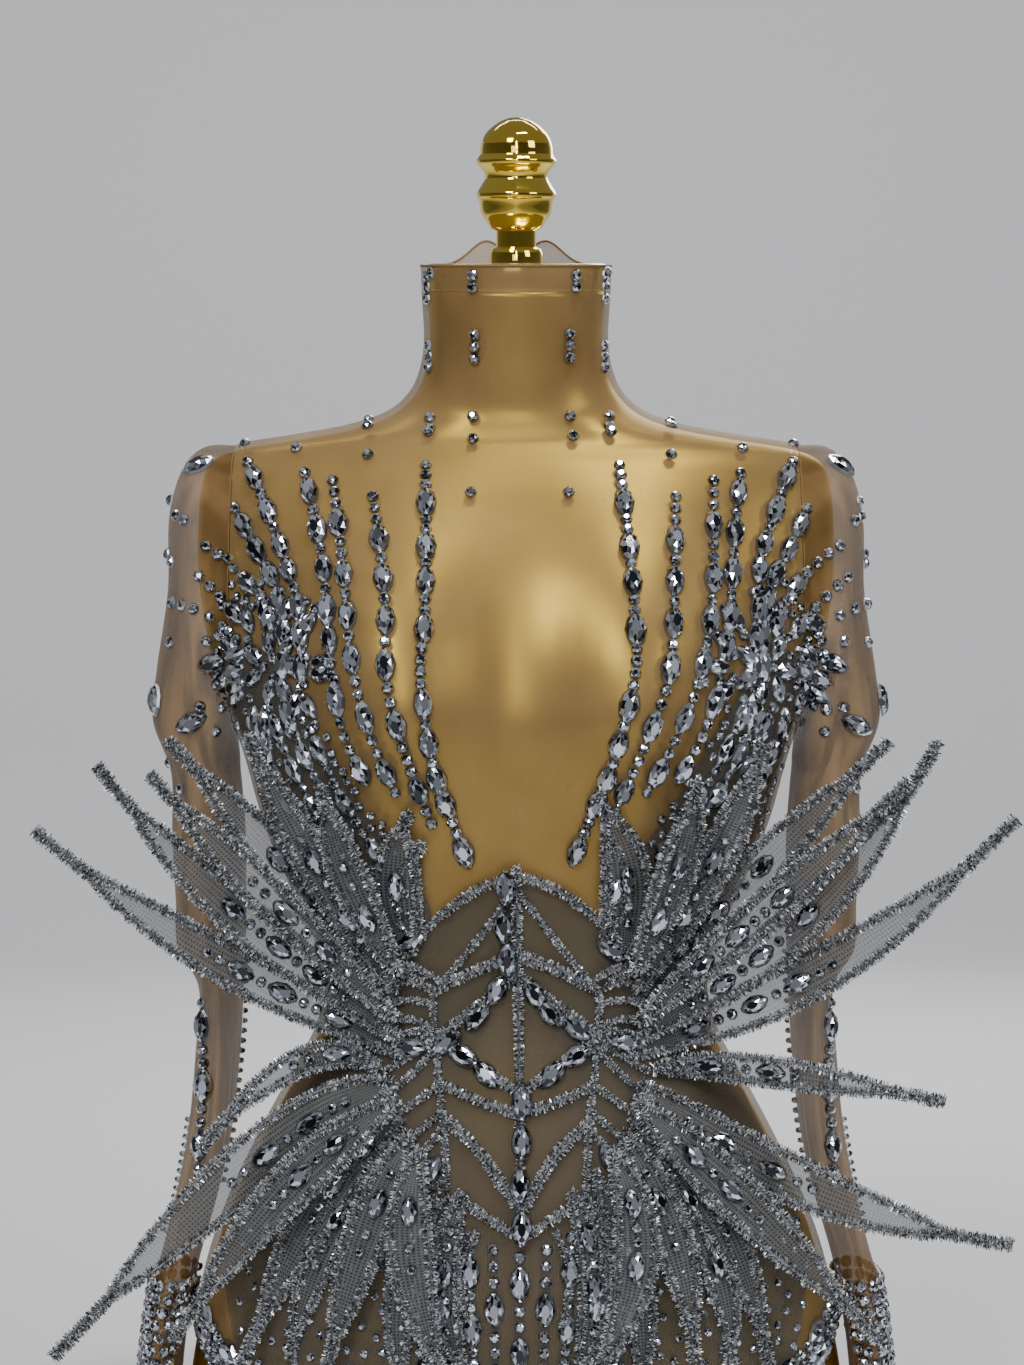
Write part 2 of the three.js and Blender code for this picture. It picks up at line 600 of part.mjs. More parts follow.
// The pull tab hangs from the bar between the slider's cheeks by its eye
function pullTab() {
  const outline = new THREE.Shape();
  const half = pull.thick / 2;
  const turn = Math.asin(half / pull.eye);
  outline.absarc(0, 0, pull.eye, -Math.PI / 2 + turn, (Math.PI * 3) / 2 - turn, false);
  outline.lineTo(-half, -pull.length);
  outline.lineTo(half, -pull.length);
  const eye = new THREE.Path();
  eye.absarc(0, 0, slider.bar + pull.clear, 0, Math.PI * 2, true);
  outline.holes.push(eye);
  const cut = { depth: pull.width, bevelEnabled: false, curveSegments: 8 };
  const tab = new THREE.ExtrudeGeometry(outline, cut);
  tab.translate(0, 0, -pull.width / 2);
  tab.rotateY(Math.PI / 2);
  tab.translate(0, 0, slider.thick + slider.rise);
  return tab;
}
put("zip_pull", pullTab().applyMatrix4(sliderFrame), zipMetal);

// Sleeves: a head that wraps the form's shoulder from the armhole, then a flattened tube to the cuff
function armholePlaces() {
  const armpitLift = 0.25; // the share of a section by which the armpit's end lies above the panels
  const half = armholeHalf + 3 * seamGap;
  const find = (low, high) => {
    for (let i = 0; i < 40; i++) {
      const middle = (low + high) / 2;
      if (sectionAt(middle).half > half) high = middle;
      else low = middle;
    }
    return high;
  };
  const rows = [find(armholeTop - 0.5, armholeTop + 0.5)];
  for (let t = armholeTop + 1; t < armholeFoot; t++) rows.push(t);
  rows.push(find(armholeFoot + 0.5, armholeFoot - 0.5) - armpitLift);
  const front = rows.map((t) => ({ angle: armholeAngle(t, half), t }));
  const back = front.slice(1, -1).reverse().map(({ angle, t }) => ({ angle: -angle, t }));
  return [...front, ...back];
}

function sleeve(side) {
  const places = armholePlaces();
  const top = sectionAt(places[0].t).z;
  const foot = sectionAt(places[armholeFoot - armholeTop].t).z;
  const turns = places.map(({ angle, t }) => {
    const turn = Math.acos(Math.min(1, Math.max(-1, (2 * sectionAt(t).z - top - foot) / (top - foot))));
    return angle < 0 ? -turn : turn;
  });
  const ring = (farX, farZ, nearX, nearZ, depth, centre) => turns.map((turn) => {
    const along = Math.cos(turn);
    const across = Math.abs(Math.sin(turn)) ** sleeveFullness;
    const x = (farX + nearX) / 2 + ((farX - nearX) / 2) * along;
    const z = (farZ + nearZ) / 2 + ((farZ - nearZ) / 2) * along;
    const side = turn > 0 ? "front" : "back";
    const forward = turn > 0 ? -1 : 1;
    const ownDepth = depth * across + centre * forward;
    const atSeam = turn === 0 || turn === Math.PI;
    const held = atSeam ? ownDepth : Math.max(ownDepth, depthOver(side, x, z, headClear + clothWall));
    return new THREE.Vector3(x, held * forward, z);
  });
  const rings = [
    ...headRings.map((r) => ring(r.farX, r.farZ, r.nearX, r.nearZ, r.depth, 2)),
    ...sleeveSections.map((s) => ring(s.outer, s.z, s.inner, s.z, s.depth, s.centre)),
  ];
  const walls = [...headRings.map(() => clothWall), ...sleeveSections.map((s) => s.wall)];
  // At the armpit the wall turns under, because the sleeve hangs beside the body there
  const start = places.map(({ angle, t }, i) => {
    const out = i === armholeFoot - armholeTop ? new THREE.Vector3(0, 0, -1) : formNormal(angle, t);
    const middle = offForm(angle, t, clothGap + clothWall / 2);
    return [1, -1].map((face) => middle.clone().addScaledVector(out, (face * clothWall) / 2));
  });
  const outer = [start.map((faces) => faces[0]), ...rings];
  const inner = [start.map((faces) => faces[1])];
  rings.forEach((points, row) => {
    const above = outer[row];
    const below = outer[Math.min(row + 2, outer.length - 1)];
    inner.push(points.map((point, i) => {
      const count = points.length;
      const across = points[(i + 1) % count].clone().sub(points[(i + count - 1) % count]);
      const down = below[i].clone().sub(above[i]);
      const out = across.cross(down).normalize();
      return point.clone().addScaledVector(out, -walls[row] * insideSign(points, out, i));
    }));
  });
  const turned = (grid) => grid.map((row) => row.map((p) => new THREE.Vector3(p.x * side, p.y, p.z)));
  return wallBetween(turned(outer), turned(inner), true);
}

// +1 where a direction at a ring's point leads away from the ring's centre, else -1
function insideSign(points, direction, i) {
  const centre = points.reduce((sum, p) => sum.add(p), new THREE.Vector3()).divideScalar(points.length);
  return points[i].clone().sub(centre).dot(direction) > 0 ? 1 : -1;
}
put("sleeve_left", sleeve(-1), skinMesh);
put("sleeve_right", sleeve(1), skinMesh);

// The form: a torso with two stubs, its neck cap and its finial
function torso() {
  const rows = [formTop, ...sections.keys()].filter((row) => row >= formTop).sort((a, b) => a - b);
  return loft(rows.map((t) => {
    const edge = Math.max(t > armholeTop && t < armholeFoot ? armholeAngle(t, armholeHalf) : 0, 0.03);
    const half = [0];
    for (let i = 0; i <= panelColumns; i++) half.push(edge + ((Math.PI - 2 * edge) * i) / panelColumns);
    return [...half, ...half.map((angle) => angle + Math.PI)].map((angle) => offForm(angle, t, -formInset));
  }));
}

function stubSolid(side) {
  const ring = (z, inset) => [...Array(stub.sides).keys()].map((i) => {
    const angle = (Math.PI * 2 * i) / stub.sides;
    const depth = Math.sin(angle) > 0 ? stub.back : stub.front;
    return new THREE.Vector3(
      side * stub.x + (stub.half - inset) * Math.cos(angle),
      stub.y + (depth - inset) * Math.sin(angle),
      z,
    );
  });
  return loft([ring(0, stub.corner), ring(stub.corner, 0), ring(stub.top, 0)]);
}
put("form_torso", geometryFrom(
  solidOf(torso()).add(solidOf(stubSolid(-1))).add(solidOf(stubSolid(1))),
), polish);

// A turned piece whose foot stands on a sloping plane at the neck's top
function turned(profile, sides, lean, foot) {
  const geometry = new THREE.LatheGeometry(profile.map((p) => new THREE.Vector2(p.radius, p.up)), sides);
  geometry.rotateX(Math.PI / 2 + Math.atan(lean));
  geometry.translate(foot.x, foot.y, foot.z);
  return geometry;
}
const neckTop = sectionAt(formTop);
const capFoot = new THREE.Vector3(0, neckTop.centre, neckTop.z + restGap);
const capProfile = [
  { radius: 0, up: 0 },
  { radius: cap.radius - cap.edge, up: 0 },
  { radius: cap.radius, up: cap.edge },
  { radius: cap.radius, up: cap.height - cap.edge },
  { radius: cap.radius - cap.edge, up: cap.height },
  { radius: 0, up: cap.height },
];
put("form_cap", turned(capProfile, cap.sides, cap.lean, capFoot), brightPolish);
const tilt = Math.atan(cap.lean);
const finialFoot = capFoot.clone()
  .add(new THREE.Vector3(0, -Math.sin(tilt), Math.cos(tilt)).multiplyScalar(cap.height + restGap));
put("form_finial", turned(
  [{ radius: 0, up: 0 }, ...finialProfile, { radius: 0, up: finialTop }],
  finialSides, finialLean, finialFoot,
), brightPolish);

function smooth(s) {
  const held = Math.min(Math.max(s, 0), 1);
  return held * held * (3 - 2 * held);
}

// The curved sheet that a fan of fins lies on: over the cloth near the body, then out and forward
function fanDepth(x, z) {
  const body = depthOver("front", x, z, clothGap + clothWall + restGap);
  const free = fan.near + (fan.far - fan.near) * smooth((Math.abs(x) - fan.from) / (fan.to - fan.from));
  return (body + free + Math.hypot(body - free, fan.ease)) / 2;
}

// A fin: two tinsel edges with a web of tulle between them, from its root on the cloth to its tip.
// The root's end is sewn down, and from there the fin rises to its own layer.
function fin(row, layer) {
  const root = new THREE.Vector3(row.rootX, 0, row.rootZ);
  const mid = new THREE.Vector3(row.midX, 0, row.midZ);
  const tip = new THREE.Vector3(row.tipX, 0, row.tipZ);
  const bend = mid.clone().multiplyScalar(2).sub(root.clone().add(tip).multiplyScalar(0.5));
  const line = new THREE.QuadraticBezierCurve3(root, bend, tip);
  const rings = [];
  const stations = [...Array(finSteps + 1).keys()].map((i) => (i / finSteps) ** stationPower);
  if (layer > 0) stations.splice(1, 0, liftedAt);
  for (const s of stations) {
    const place = line.getPoint(s);
    const along = line.getTangent(s);
    const open = Math.sin(Math.PI * Math.min(s / forkAt, 1)) ** finFullness;
    const r = tinselRadius * (s === 0 ? rootShare : s > forkAt ? tipShare : 1);
    const half = Math.max((row.width / 2 - tinselRadius) * open, r * closedShare);
    const hem = Math.max(half - r * 0.8, half / 2);
    const step = s === 0 ? 0 : rootStep + (layerStep - rootStep) * smooth(s / spreadBy);
    const lift = r + layer * step - (s === 0 ? rootSunk : 0);
    const flat = web / 2;
    rings.push([
      [-half - r, 0], [-half, r], [-hem, flat], [hem, flat], [half, r],
      [half + r, 0], [half, -r], [hem, -flat], [-hem, -flat], [-half, -r],
    ].map(([offset, up]) => {
      const x = place.x + along.z * offset;
      const z = place.z - along.x * offset;
      return new THREE.Vector3(x, -fanDepth(x, z) - lift - up, z);
    }));
  }
  return loft(rings, rings[0].length / 2);
}
for (const { name, fins } of fans) {
  fins.forEach((row, i) => put(`${name}_${i + 1}`, fin(row, i % finLayers), tinsel));
}

// A tinsel arm that lies on the front through places (x, z), as a four-sided tube
function arm(places, radius, steps) {
  const line = new THREE.CatmullRomCurve3(places.map(([x, z]) => new THREE.Vector3(x, 0, z)));
  const rings = [];
  for (let i = 0; i <= steps; i++) {
    const place = line.getPoint(i / steps);
    const along = line.getTangent(i / steps);
    const across = new THREE.Vector3(along.z, 0, -along.x).multiplyScalar(radius);
    const depths = [-1, 0, 1].map((edge) => depthOver(
      "front", place.x + across.x * edge, place.z + across.z * edge, clothGap + clothWall + restGap,
    ));
    place.y = -Math.max(...depths) - radius;
    const up = new THREE.Vector3(0, -radius, 0);
    rings.push([
      place.clone().add(across), place.clone().add(up), place.clone().sub(across), place.clone().sub(up),
    ]);
  }
  return loft(rings);
}

// The ornament's spine leans a little to one side on its way down
function spineX(z) {
  return (spine.shift * (spine.top - z)) / (spine.top - spine.foot);
}

function lattice() {
  const middle = [0, 0.25, 0.5, 0.75, 1].map((s) => spine.top + (spine.foot - spine.top) * s);
  let whole = solidOf(arm(middle.map((z) => [spineX(z), z]), latticeRadius, spineSteps));
  for (const places of latticeArms) {
    for (const side of [-1, 1]) {
      const reach = places.map(([x, z]) => [spineX(z) + x * side, z]);
      whole = whole.add(solidOf(arm(reach, latticeRadius, armSteps)));
    }
  }
  return geometryFrom(whole);
}
put("centre_lattice", lattice(), tinsel);

export default group;
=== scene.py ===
# Stage bodysuit on a dress form: cloth, stones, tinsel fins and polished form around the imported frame
import math
import bmesh
import bpy
import numpy as np
from mathutils import Matrix, Vector
from mathutils.bvhtree import BVHTree


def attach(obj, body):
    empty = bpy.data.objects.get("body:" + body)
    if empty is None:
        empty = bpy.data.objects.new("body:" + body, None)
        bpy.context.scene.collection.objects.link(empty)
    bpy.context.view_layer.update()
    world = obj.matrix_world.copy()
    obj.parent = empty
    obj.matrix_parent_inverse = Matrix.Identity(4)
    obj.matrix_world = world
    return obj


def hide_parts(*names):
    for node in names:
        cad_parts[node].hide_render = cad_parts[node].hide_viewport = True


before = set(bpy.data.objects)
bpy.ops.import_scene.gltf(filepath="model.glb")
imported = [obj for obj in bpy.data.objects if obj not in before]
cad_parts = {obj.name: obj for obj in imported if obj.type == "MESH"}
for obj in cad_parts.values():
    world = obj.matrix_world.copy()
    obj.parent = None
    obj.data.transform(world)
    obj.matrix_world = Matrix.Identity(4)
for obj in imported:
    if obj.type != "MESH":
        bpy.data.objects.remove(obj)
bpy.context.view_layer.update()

mm = 0.001
garmentBody = "garment_and_form"
draw = np.random.default_rng(11)

# Camera: level, at the height of the waist, 1.5 m in front
cameraSettings = {"place": (-0.0024, -1.5, 0.5025), "lens": 65.93, "sensorHeight": 36}
cameraData = bpy.data.cameras.new("photo_camera")
cameraData.sensor_fit = "VERTICAL"
cameraData.sensor_height = cameraSettings["sensorHeight"]
cameraData.lens = cameraSettings["lens"]
cameraData.clip_start = 0.05
photoCamera = bpy.data.objects.new("photo_camera", cameraData)
photoCamera.location = cameraSettings["place"]
photoCamera.rotation_euler = (math.pi / 2, 0, 0)
bpy.context.scene.collection.objects.link(photoCamera)
bpy.context.scene.camera = photoCamera
print("camera is set")

# Sections of the form from the collar's edge down, in mm:
# height, half width, depth to the front and to the back, centre, slope and power
formSections = np.array([
    (750, 54.0, 54, 54, -16, 0.17, 2.0),
    (734, 53.6, 54, 54, -14, 0.17, 2.0),
    (708, 52.4, 52, 54, -9, 0.13, 2.0),
    (690, 55, 51, 56, -5, 0.1, 2.0),
    (675, 62, 50, 58, -2, 0.07, 2.0),
    (663, 76, 50, 60, 0, 0.04, 2.0),
    (654.5, 100, 50, 61, 0, 0.02, 2.0),
    (648, 134, 50, 60, 0, 0, 2.05),
    (643, 165, 51, 59, 0, 0, 2.1),
    (637, 181, 54, 61, 0, 0, 2.15),
    (626, 188, 60, 67, 0, 0, 2.2),
    (604, 191, 70, 79, 0, 0, 2.25),
    (565, 191, 84, 91, 0, 0, 2.25),
    (525, 185, 91, 95, 0, 0, 2.25),
    (495, 175, 94, 93, 0, 0, 2.25),
    (483, 169.2, 94.7, 92, 0, 0, 2.25),
    (476, 165, 95, 91, 0, 0, 2.25),
    (450, 157, 94, 87, 0, 0, 2.25),
    (434, 153, 93, 84, 0, 0, 2.25),
    (418, 148, 92, 81, 0, 0, 2.25),
    (402, 141.5, 90, 77.5, 0, 0, 2.25),
    (385, 134, 88, 74, 0, 0, 2.25),
    (350, 118, 85, 69, 0, 0, 2.2),
    (321, 111, 84, 67, 0, 0, 2.2),
    (292, 119, 86, 71, 0, 0, 2.2),
    (262, 136, 91, 81, 0, 0, 2.2),
    (228, 154, 96, 92, 0, 0, 2.2),
    (192, 171, 100, 103, 0, 0, 2.2),
    (160, 182, 101, 110, 0, 0, 2.2),
    (126, 189.5, 99, 114, 0, 0, 2.2),
    (93, 195, 94, 113, 0, 0, 2.2),
    (70, 197, 86, 107, 0, 0, 2.2),
    (56, 192, 74, 95, 0, 0, 2.2),
    (47, 178, 56, 76, 0, 0, 2.2),
    (42, 150, 34, 52, 0, 0, 2.2),
], dtype=float)
lastSection = len(formSections) - 1
armholeTop = 8
armholeFoot = 16
armholeHalf = 165
hipSection = 28
formTop = 0.95
bust = {"x": 76, "z": 490, "out": 35, "across": 54, "above": 84, "below": 54}
seat = {"x": 78, "z": 128, "out": 20, "across": 62, "above": 80, "below": 60}

# How far the surfaces lie off the form's sections, in mm
clothSettings = {"gap": 1.9, "wall": 1.3, "formInset": 1.1, "rest": 0.3}
clothOut = clothSettings["gap"] + clothSettings["wall"]


# A smooth curve through a table's rows
def throughRows(table, t):
    t = np.asarray(t, float)
    top = len(table) - 1
    row = np.clip(np.floor(t).astype(int), 0, top - 1)
    s = (t - row).reshape(t.shape + (1,) * (table.ndim - 1))
    a, b, c, d = (table[np.clip(row + k, 0, top)] for k in (-1, 0, 1, 2))
    second, third = 2 * a - 5 * b + 4 * c - d, 3 * b - a - 3 * c + d
    return 0.5 * (2 * b + (c - a) * s + second * s**2 + third * s**3)


def smooth(s):
    held = np.clip(s, 0, 1)
    return held * held * (3 - 2 * held)


# The sections at close steps, with widths and depths eased over the height so that light runs smoothly
easeSettings = {"steps": 1700, "reach": 13.0, "under": 625.0, "over": 70.0, "fade": 50.0}
closeRows = np.linspace(0, lastSection, easeSettings["steps"])
closeSections = throughRows(formSections, closeRows)
closeHeights = closeSections[:, 0]
nearness = np.exp(-((closeHeights[:, None] - closeHeights[None]) / easeSettings["reach"]) ** 2)
nearness *= np.abs(np.gradient(closeHeights))[None]
nearness /= nearness.sum(1, keepdims=True)
easeShare = smooth((easeSettings["under"] - closeHeights) / easeSettings["fade"])
easeShare = easeShare * smooth((closeHeights - easeSettings["over"]) / easeSettings["fade"])
for column in (1, 2, 3, 4):
    eased = nearness @ closeSections[:, column]
    closeSections[:, column] += easeShare * (eased - closeSections[:, column])


def sectionAt(t):
    t = np.asarray(t, float)
    return np.stack([np.interp(t, closeRows, column) for column in closeSections.T], -1)


def softRound(soft, x, z):
    reach = soft["below"] + (soft["above"] - soft["below"]) * smooth((z - soft["z"] + 30) / 60)
    rise = (z - soft["z"]) / reach
    sides = sum(np.exp(-(((x - centre) / soft["across"]) ** 2)) for centre in (soft["x"], -soft["x"]))
    return soft["out"] * np.exp(-rise * rise) * sides


# A point of the form: angle 0 is the right side, a quarter turn is the front
def formPoint(angle, t):
    angle, t = np.broadcast_arrays(np.asarray(angle, float), np.asarray(t, float))
    z, half, front, back, centre, slope, power = np.moveaxis(sectionAt(t), -1, 0)
    c, d = np.cos(angle), np.sin(angle)
    x = half * np.sign(c) * np.abs(c) ** (2 / power)
    depth = np.abs(d) ** (2 / power)
    ahead = centre - front * depth - softRound(bust, x, z) * np.abs(d)
    behind = centre + back * depth + softRound(seat, x, z) * np.abs(d)
    y = np.where(d > 0, ahead, behind)
    return np.stack([x, y, z + slope * (y - centre)], -1)


def offForm(angle, t, off):
    step = 0.01
    angle, t = np.broadcast_arrays(np.asarray(angle, float), np.asarray(t, float))
    across = formPoint(angle + step, t) - formPoint(angle - step, t)
    down = formPoint(angle, np.minimum(t + step, lastSection)) - formPoint(angle, np.maximum(t - step, 0))
    normal = np.cross(across, down)
    normal /= np.linalg.norm(normal, axis=-1, keepdims=True)
    return formPoint(angle, t) + normal * np.asarray(off)[..., None]


def armholeAngle(t, half):
    section = sectionAt(t)
    return np.arccos(np.minimum(1, (half / section[..., 1]) ** (section[..., 6] / 2)))


fineRows = np.linspace(1, lastSection, 1500)
fineHeights = sectionAt(fineRows)[:, 0]


def rowOf(z):
    return np.interp(z, fineHeights[::-1], fineRows[::-1])


# The form's depth in front of the middle plane at a place (x, z)
def depthAt(x, z):
    x, z = np.broadcast_arrays(np.asarray(x, float), np.asarray(z, float))
    section = sectionAt(rowOf(z))
    half, front, centre, power = (section[..., k] for k in (1, 2, 4, 6))
    share = np.minimum(np.abs(x) / half, 1)
    depth = (1 - share**power) ** (1 / power)
    return -centre + front * depth + softRound(bust, x, z) * depth ** (power / 2)


def depthOver(x, z, off):
    step = 1.5
    across = (depthAt(x + step, z) - depthAt(x - step, z)) / (2 * step)
    up = (depthAt(x, z + step) - depthAt(x, z - step)) / (2 * step)
    return depthAt(x, z) + off * np.minimum(np.sqrt(1 + across**2 + up**2), 2.5)


# Finishes: one Principled shader each, with its pattern wired to colour, roughness and bump
def newFinish(name, colour, metallic, roughness, more=None):
    material = bpy.data.materials.new(name)
    material.use_nodes = True
    shader = material.node_tree.nodes["Principled BSDF"]
    shader.inputs["Base Color"].default_value = (*colour, 1)
    shader.inputs["Metallic"].default_value = metallic
    shader.inputs["Roughness"].default_value = roughness
    for socket, value in (more or {}).items():
        shader.inputs[socket].default_value = value
    return material


def addNode(material, kind, values=None, links=None):
    node = material.node_tree.nodes.new(kind)
    for socket, value in (values or {}).items():
        node.inputs[socket].default_value = value
    for socket, source in (links or {}).items():
        material.node_tree.links.new(source, node.inputs[socket])
    return node


def wire(material, source, socket):
    shader = material.node_tree.nodes["Principled BSDF"]
    material.node_tree.links.new(source, shader.inputs[socket])


def noiseOf(material, scale, detail=3.0, coordinates="Object"):
    place = addNode(material, "ShaderNodeTexCoord")
    noise = addNode(material, "ShaderNodeTexNoise", {"Scale": scale, "Detail": detail})
    material.node_tree.links.new(place.outputs[coordinates], noise.inputs["Vector"])
    return noise


def tintBetween(material, source, low, high, start=0.35, end=0.65):
    ramp = addNode(material, "ShaderNodeValToRGB", None, {"Fac": source})
    ramp.color_ramp.elements[0].position = start
    ramp.color_ramp.elements[0].color = (*low, 1)
    ramp.color_ramp.elements[1].position = end
    ramp.color_ramp.elements[1].color = (*high, 1)
    wire(material, ramp.outputs["Color"], "Base Color")
    return ramp


def bumpFrom(material, source, strength, distance):
    bump = addNode(material, "ShaderNodeBump", {"Strength": strength, "Distance": distance},
                   {"Height": source})
    wire(material, bump.outputs["Normal"], "Normal")


def rangeOf(material, source, low, high, socket):
    spread = addNode(material, "ShaderNodeMapRange", {"To Min": low, "To Max": high}, {"Value": source})
    wire(material, spread.outputs["Result"], socket)


# Fine power net: two sets of ribs across each other in the piece's own UV map, in metres
def netRibs(material, pitch):
    place = addNode(material, "ShaderNodeTexCoord")
    ribs = []
    for direction in ("X", "Y"):
        wave = addNode(material, "ShaderNodeTexWave", {"Scale": 1 / (pitch * 2 * math.pi) * 2})
        wave.bands_direction = direction
        material.node_tree.links.new(place.outputs["UV"], wave.inputs["Vector"])
        ribs.append(wave.outputs["Fac"])
    both = addNode(material, "ShaderNodeMath", None, {0: ribs[0], 1: ribs[1]})
    both.operation = "MAXIMUM"
    return both.outputs["Value"]


skinSettings = {"light": (0.36, 0.235, 0.10), "dark": (0.29, 0.185, 0.075), "cover": 0.58,
                "netPitch": 0.0011}
skinMesh = newFinish("skin_power_net", skinSettings["light"], 0, 0.6, {
    "Alpha": skinSettings["cover"], "Sheen Weight": 0.04, "Sheen Roughness": 0.45,
    "Specular IOR Level": 0.2,
})
tintBetween(skinMesh, noiseOf(skinMesh, 26, 4).outputs["Fac"], skinSettings["dark"], skinSettings["light"])
bumpFrom(skinMesh, netRibs(skinMesh, skinSettings["netPitch"]), 0.25, 0.0002)

# Sleeve net: doubled cloth. Noise streaks along the sleeve bump it and paint it darker, as painted shade of
# folds.
# Its head covers no more than the body's net does, so that the form's shoulder shows through alike:
# headFrom and headTo are metres down the sleeve.
sleeveFinishSettings = {"light": (0.32, 0.19, 0.075), "dark": (0.14, 0.076, 0.024), "cover": 0.72,
                        "foldShadeAndBump": (42, 11, 1), "foldTurn": 0.3, "headFrom": 0.04, "headTo": 0.16}
sleeveNet = newFinish("sleeve_net", (0.22, 0.13, 0.055), 0, 0.6, {
    "Alpha": sleeveFinishSettings["cover"], "Sheen Weight": 0.04, "Sheen Roughness": 0.45,
    "Specular IOR Level": 0.15,
})
sleevePlace = addNode(sleeveNet, "ShaderNodeTexCoord").outputs["UV"]
foldPlace = addNode(sleeveNet, "ShaderNodeMapping", {
    "Rotation": (0, 0, sleeveFinishSettings["foldTurn"]), "Scale": sleeveFinishSettings["foldShadeAndBump"]},
    {"Vector": sleevePlace})
foldShadeAndBump = addNode(sleeveNet, "ShaderNodeTexNoise", {"Scale": 1, "Detail": 2, "Distortion": 0.6}, {
    "Vector": foldPlace.outputs["Vector"]}).outputs["Fac"]
# Painted shade of folds: the colour is darker where the noise streaks run
tintBetween(sleeveNet, foldShadeAndBump, sleeveFinishSettings["dark"], sleeveFinishSettings["light"], 0.38, 0.6)
bumpFrom(sleeveNet, foldShadeAndBump, 0.8, 0.004)
downSleeve = addNode(sleeveNet, "ShaderNodeSeparateXYZ", None, {"Vector": sleevePlace})
sleeveCover = addNode(sleeveNet, "ShaderNodeMapRange", {
    "From Min": sleeveFinishSettings["headFrom"], "From Max": sleeveFinishSettings["headTo"],
    "To Min": skinSettings["cover"], "To Max": sleeveFinishSettings["cover"]},
    {"Value": downSleeve.outputs["Y"]})
wire(sleeveNet, sleeveCover.outputs["Result"], "Alpha")

hemFinish = newFinish("skin_hem", (0.26, 0.155, 0.075), 0, 0.6, {"Specular IOR Level": 0.2})
bumpFrom(hemFinish, noiseOf(hemFinish, 900).outputs["Fac"], 0.3, 0.0002)

tulleSettings = {"light": (0.15, 0.158, 0.165), "dark": (0.026, 0.029, 0.032), "cover": 0.68,
                 "netPitch": 0.0018}
tulleNet = newFinish("grey_tulle", tulleSettings["light"], 0.15, 0.5, {
    "Alpha": tulleSettings["cover"], "Sheen Weight": 0.08, "Sheen Roughness": 0.4,
})
tintBetween(tulleNet, netRibs(tulleNet, tulleSettings["netPitch"]), tulleSettings["dark"],
            tulleSettings["light"])
bumpFrom(tulleNet, netRibs(tulleNet, tulleSettings["netPitch"]), 0.4, 0.0003)

waistTulleSettings = {"light": (0.10, 0.10, 0.095), "dark": (0.025, 0.024, 0.02), "cover": 0.55,
                      "netPitch": 0.0016}
waistTulle = newFinish("waist_tulle", (0.08, 0.08, 0.08), 0, 0.6, {
    "Alpha": waistTulleSettings["cover"], "Specular IOR Level": 0.2,
})
tintBetween(waistTulle, netRibs(waistTulle, waistTulleSettings["netPitch"]), waistTulleSettings["dark"],
            waistTulleSettings["light"])
bumpFrom(waistTulle, netRibs(waistTulle, waistTulleSettings["netPitch"]), 0.3, 0.0002)


# A metal or stone painted dark or bright at random from face to face, from a face attribute: painted glints
# and reflections
def paintedGlintFinish(name, dark, light, metallic, roughness, low, high, more=None):
    material = newFinish(name, light, metallic, roughness, more)
    paintedGlint = addNode(material, "ShaderNodeAttribute")
    paintedGlint.attribute_name = "paintedGlint"
    tintBetween(material, paintedGlint.outputs["Fac"], dark, light, low, high)
    return material


# Tinsel blades painted near black or near white at random: painted glints and dark reflections of the film
tinselFinish = paintedGlintFinish("silver_tinsel", (0.05, 0.056, 0.066), (0.94, 0.97, 1.0), 0.45, 0.2,
                           0.36, 0.68)
tinselCore = newFinish("tinsel_core", (0.20, 0.21, 0.22), 0.8, 0.45)
bumpFrom(tinselCore, noiseOf(tinselCore, 900).outputs["Fac"], 0.8, 0.0006)
tinselFinishes = [tinselFinish, tinselCore]
# Crystal facets painted dark or bright at random: painted reflections and glints of the cut
crystalFinish = paintedGlintFinish("cut_crystal", (0.012, 0.015, 0.025), (0.84, 0.90, 1.0), 0.85, 0.05,
                            0.25, 0.8, {"Coat Weight": 1.0, "Coat Roughness": 0.02, "IOR": 1.6})
claspFinish = newFinish("stone_setting", (0.30, 0.31, 0.33), 1, 0.3)
bumpFrom(claspFinish, noiseOf(claspFinish, 700).outputs["Fac"], 0.1, 0.0002)

goldFinish = newFinish("form_gold", (0.82, 0.545, 0.08), 1, 0.33)
goldNoise = noiseOf(goldFinish, 7, 2)
tintBetween(goldFinish, goldNoise.outputs["Fac"], (0.77, 0.505, 0.06), (0.84, 0.575, 0.08))
rangeOf(goldFinish, noiseOf(goldFinish, 40, 5).outputs["Fac"], 0.29, 0.38, "Roughness")

capGold = newFinish("cap_gold", (0.96, 0.68, 0.08), 1, 0.05, {"Coat Weight": 0.3, "Coat Roughness": 0.03})
rangeOf(capGold, noiseOf(capGold, 60, 4).outputs["Fac"], 0.03, 0.09, "Roughness")
tintBetween(capGold, noiseOf(capGold, 20, 2).outputs["Fac"], (0.92, 0.62, 0.06), (0.98, 0.72, 0.10))
bandGold = newFinish("band_gold", (1.0, 0.80, 0.22), 1, 0.3)
rangeOf(bandGold, noiseOf(bandGold, 60, 4).outputs["Fac"], 0.1, 0.16, "Roughness")

zipTape = newFinish("zip_tape", (0.50, 0.34, 0.23), 0, 0.7, {"Sheen Weight": 0.2})
bumpFrom(zipTape, noiseOf(zipTape, 1200).outputs["Fac"], 0.5, 0.0002)
zipMetal = newFinish("zip_metal", (0.75, 0.58, 0.28), 1, 0.28)
rangeOf(zipMetal, noiseOf(zipMetal, 500).outputs["Fac"], 0.2, 0.4, "Roughness")
print("finishes are made")


def keep(name, mesh, finishes, replaced=()):
    for finish in finishes if isinstance(finishes, (list, tuple)) else [finishes]:
        mesh.materials.append(finish)
    piece = bpy.data.objects.new(name, mesh)
    bpy.context.scene.collection.objects.link(piece)
    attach(piece, garmentBody)
    if replaced:
        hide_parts(*replaced)
    return piece


def meshFrom(bm, name):
    mesh = bpy.data.meshes.new(name)
    bm.to_mesh(mesh)
    bm.free()
    mesh.shade_smooth()
    return mesh


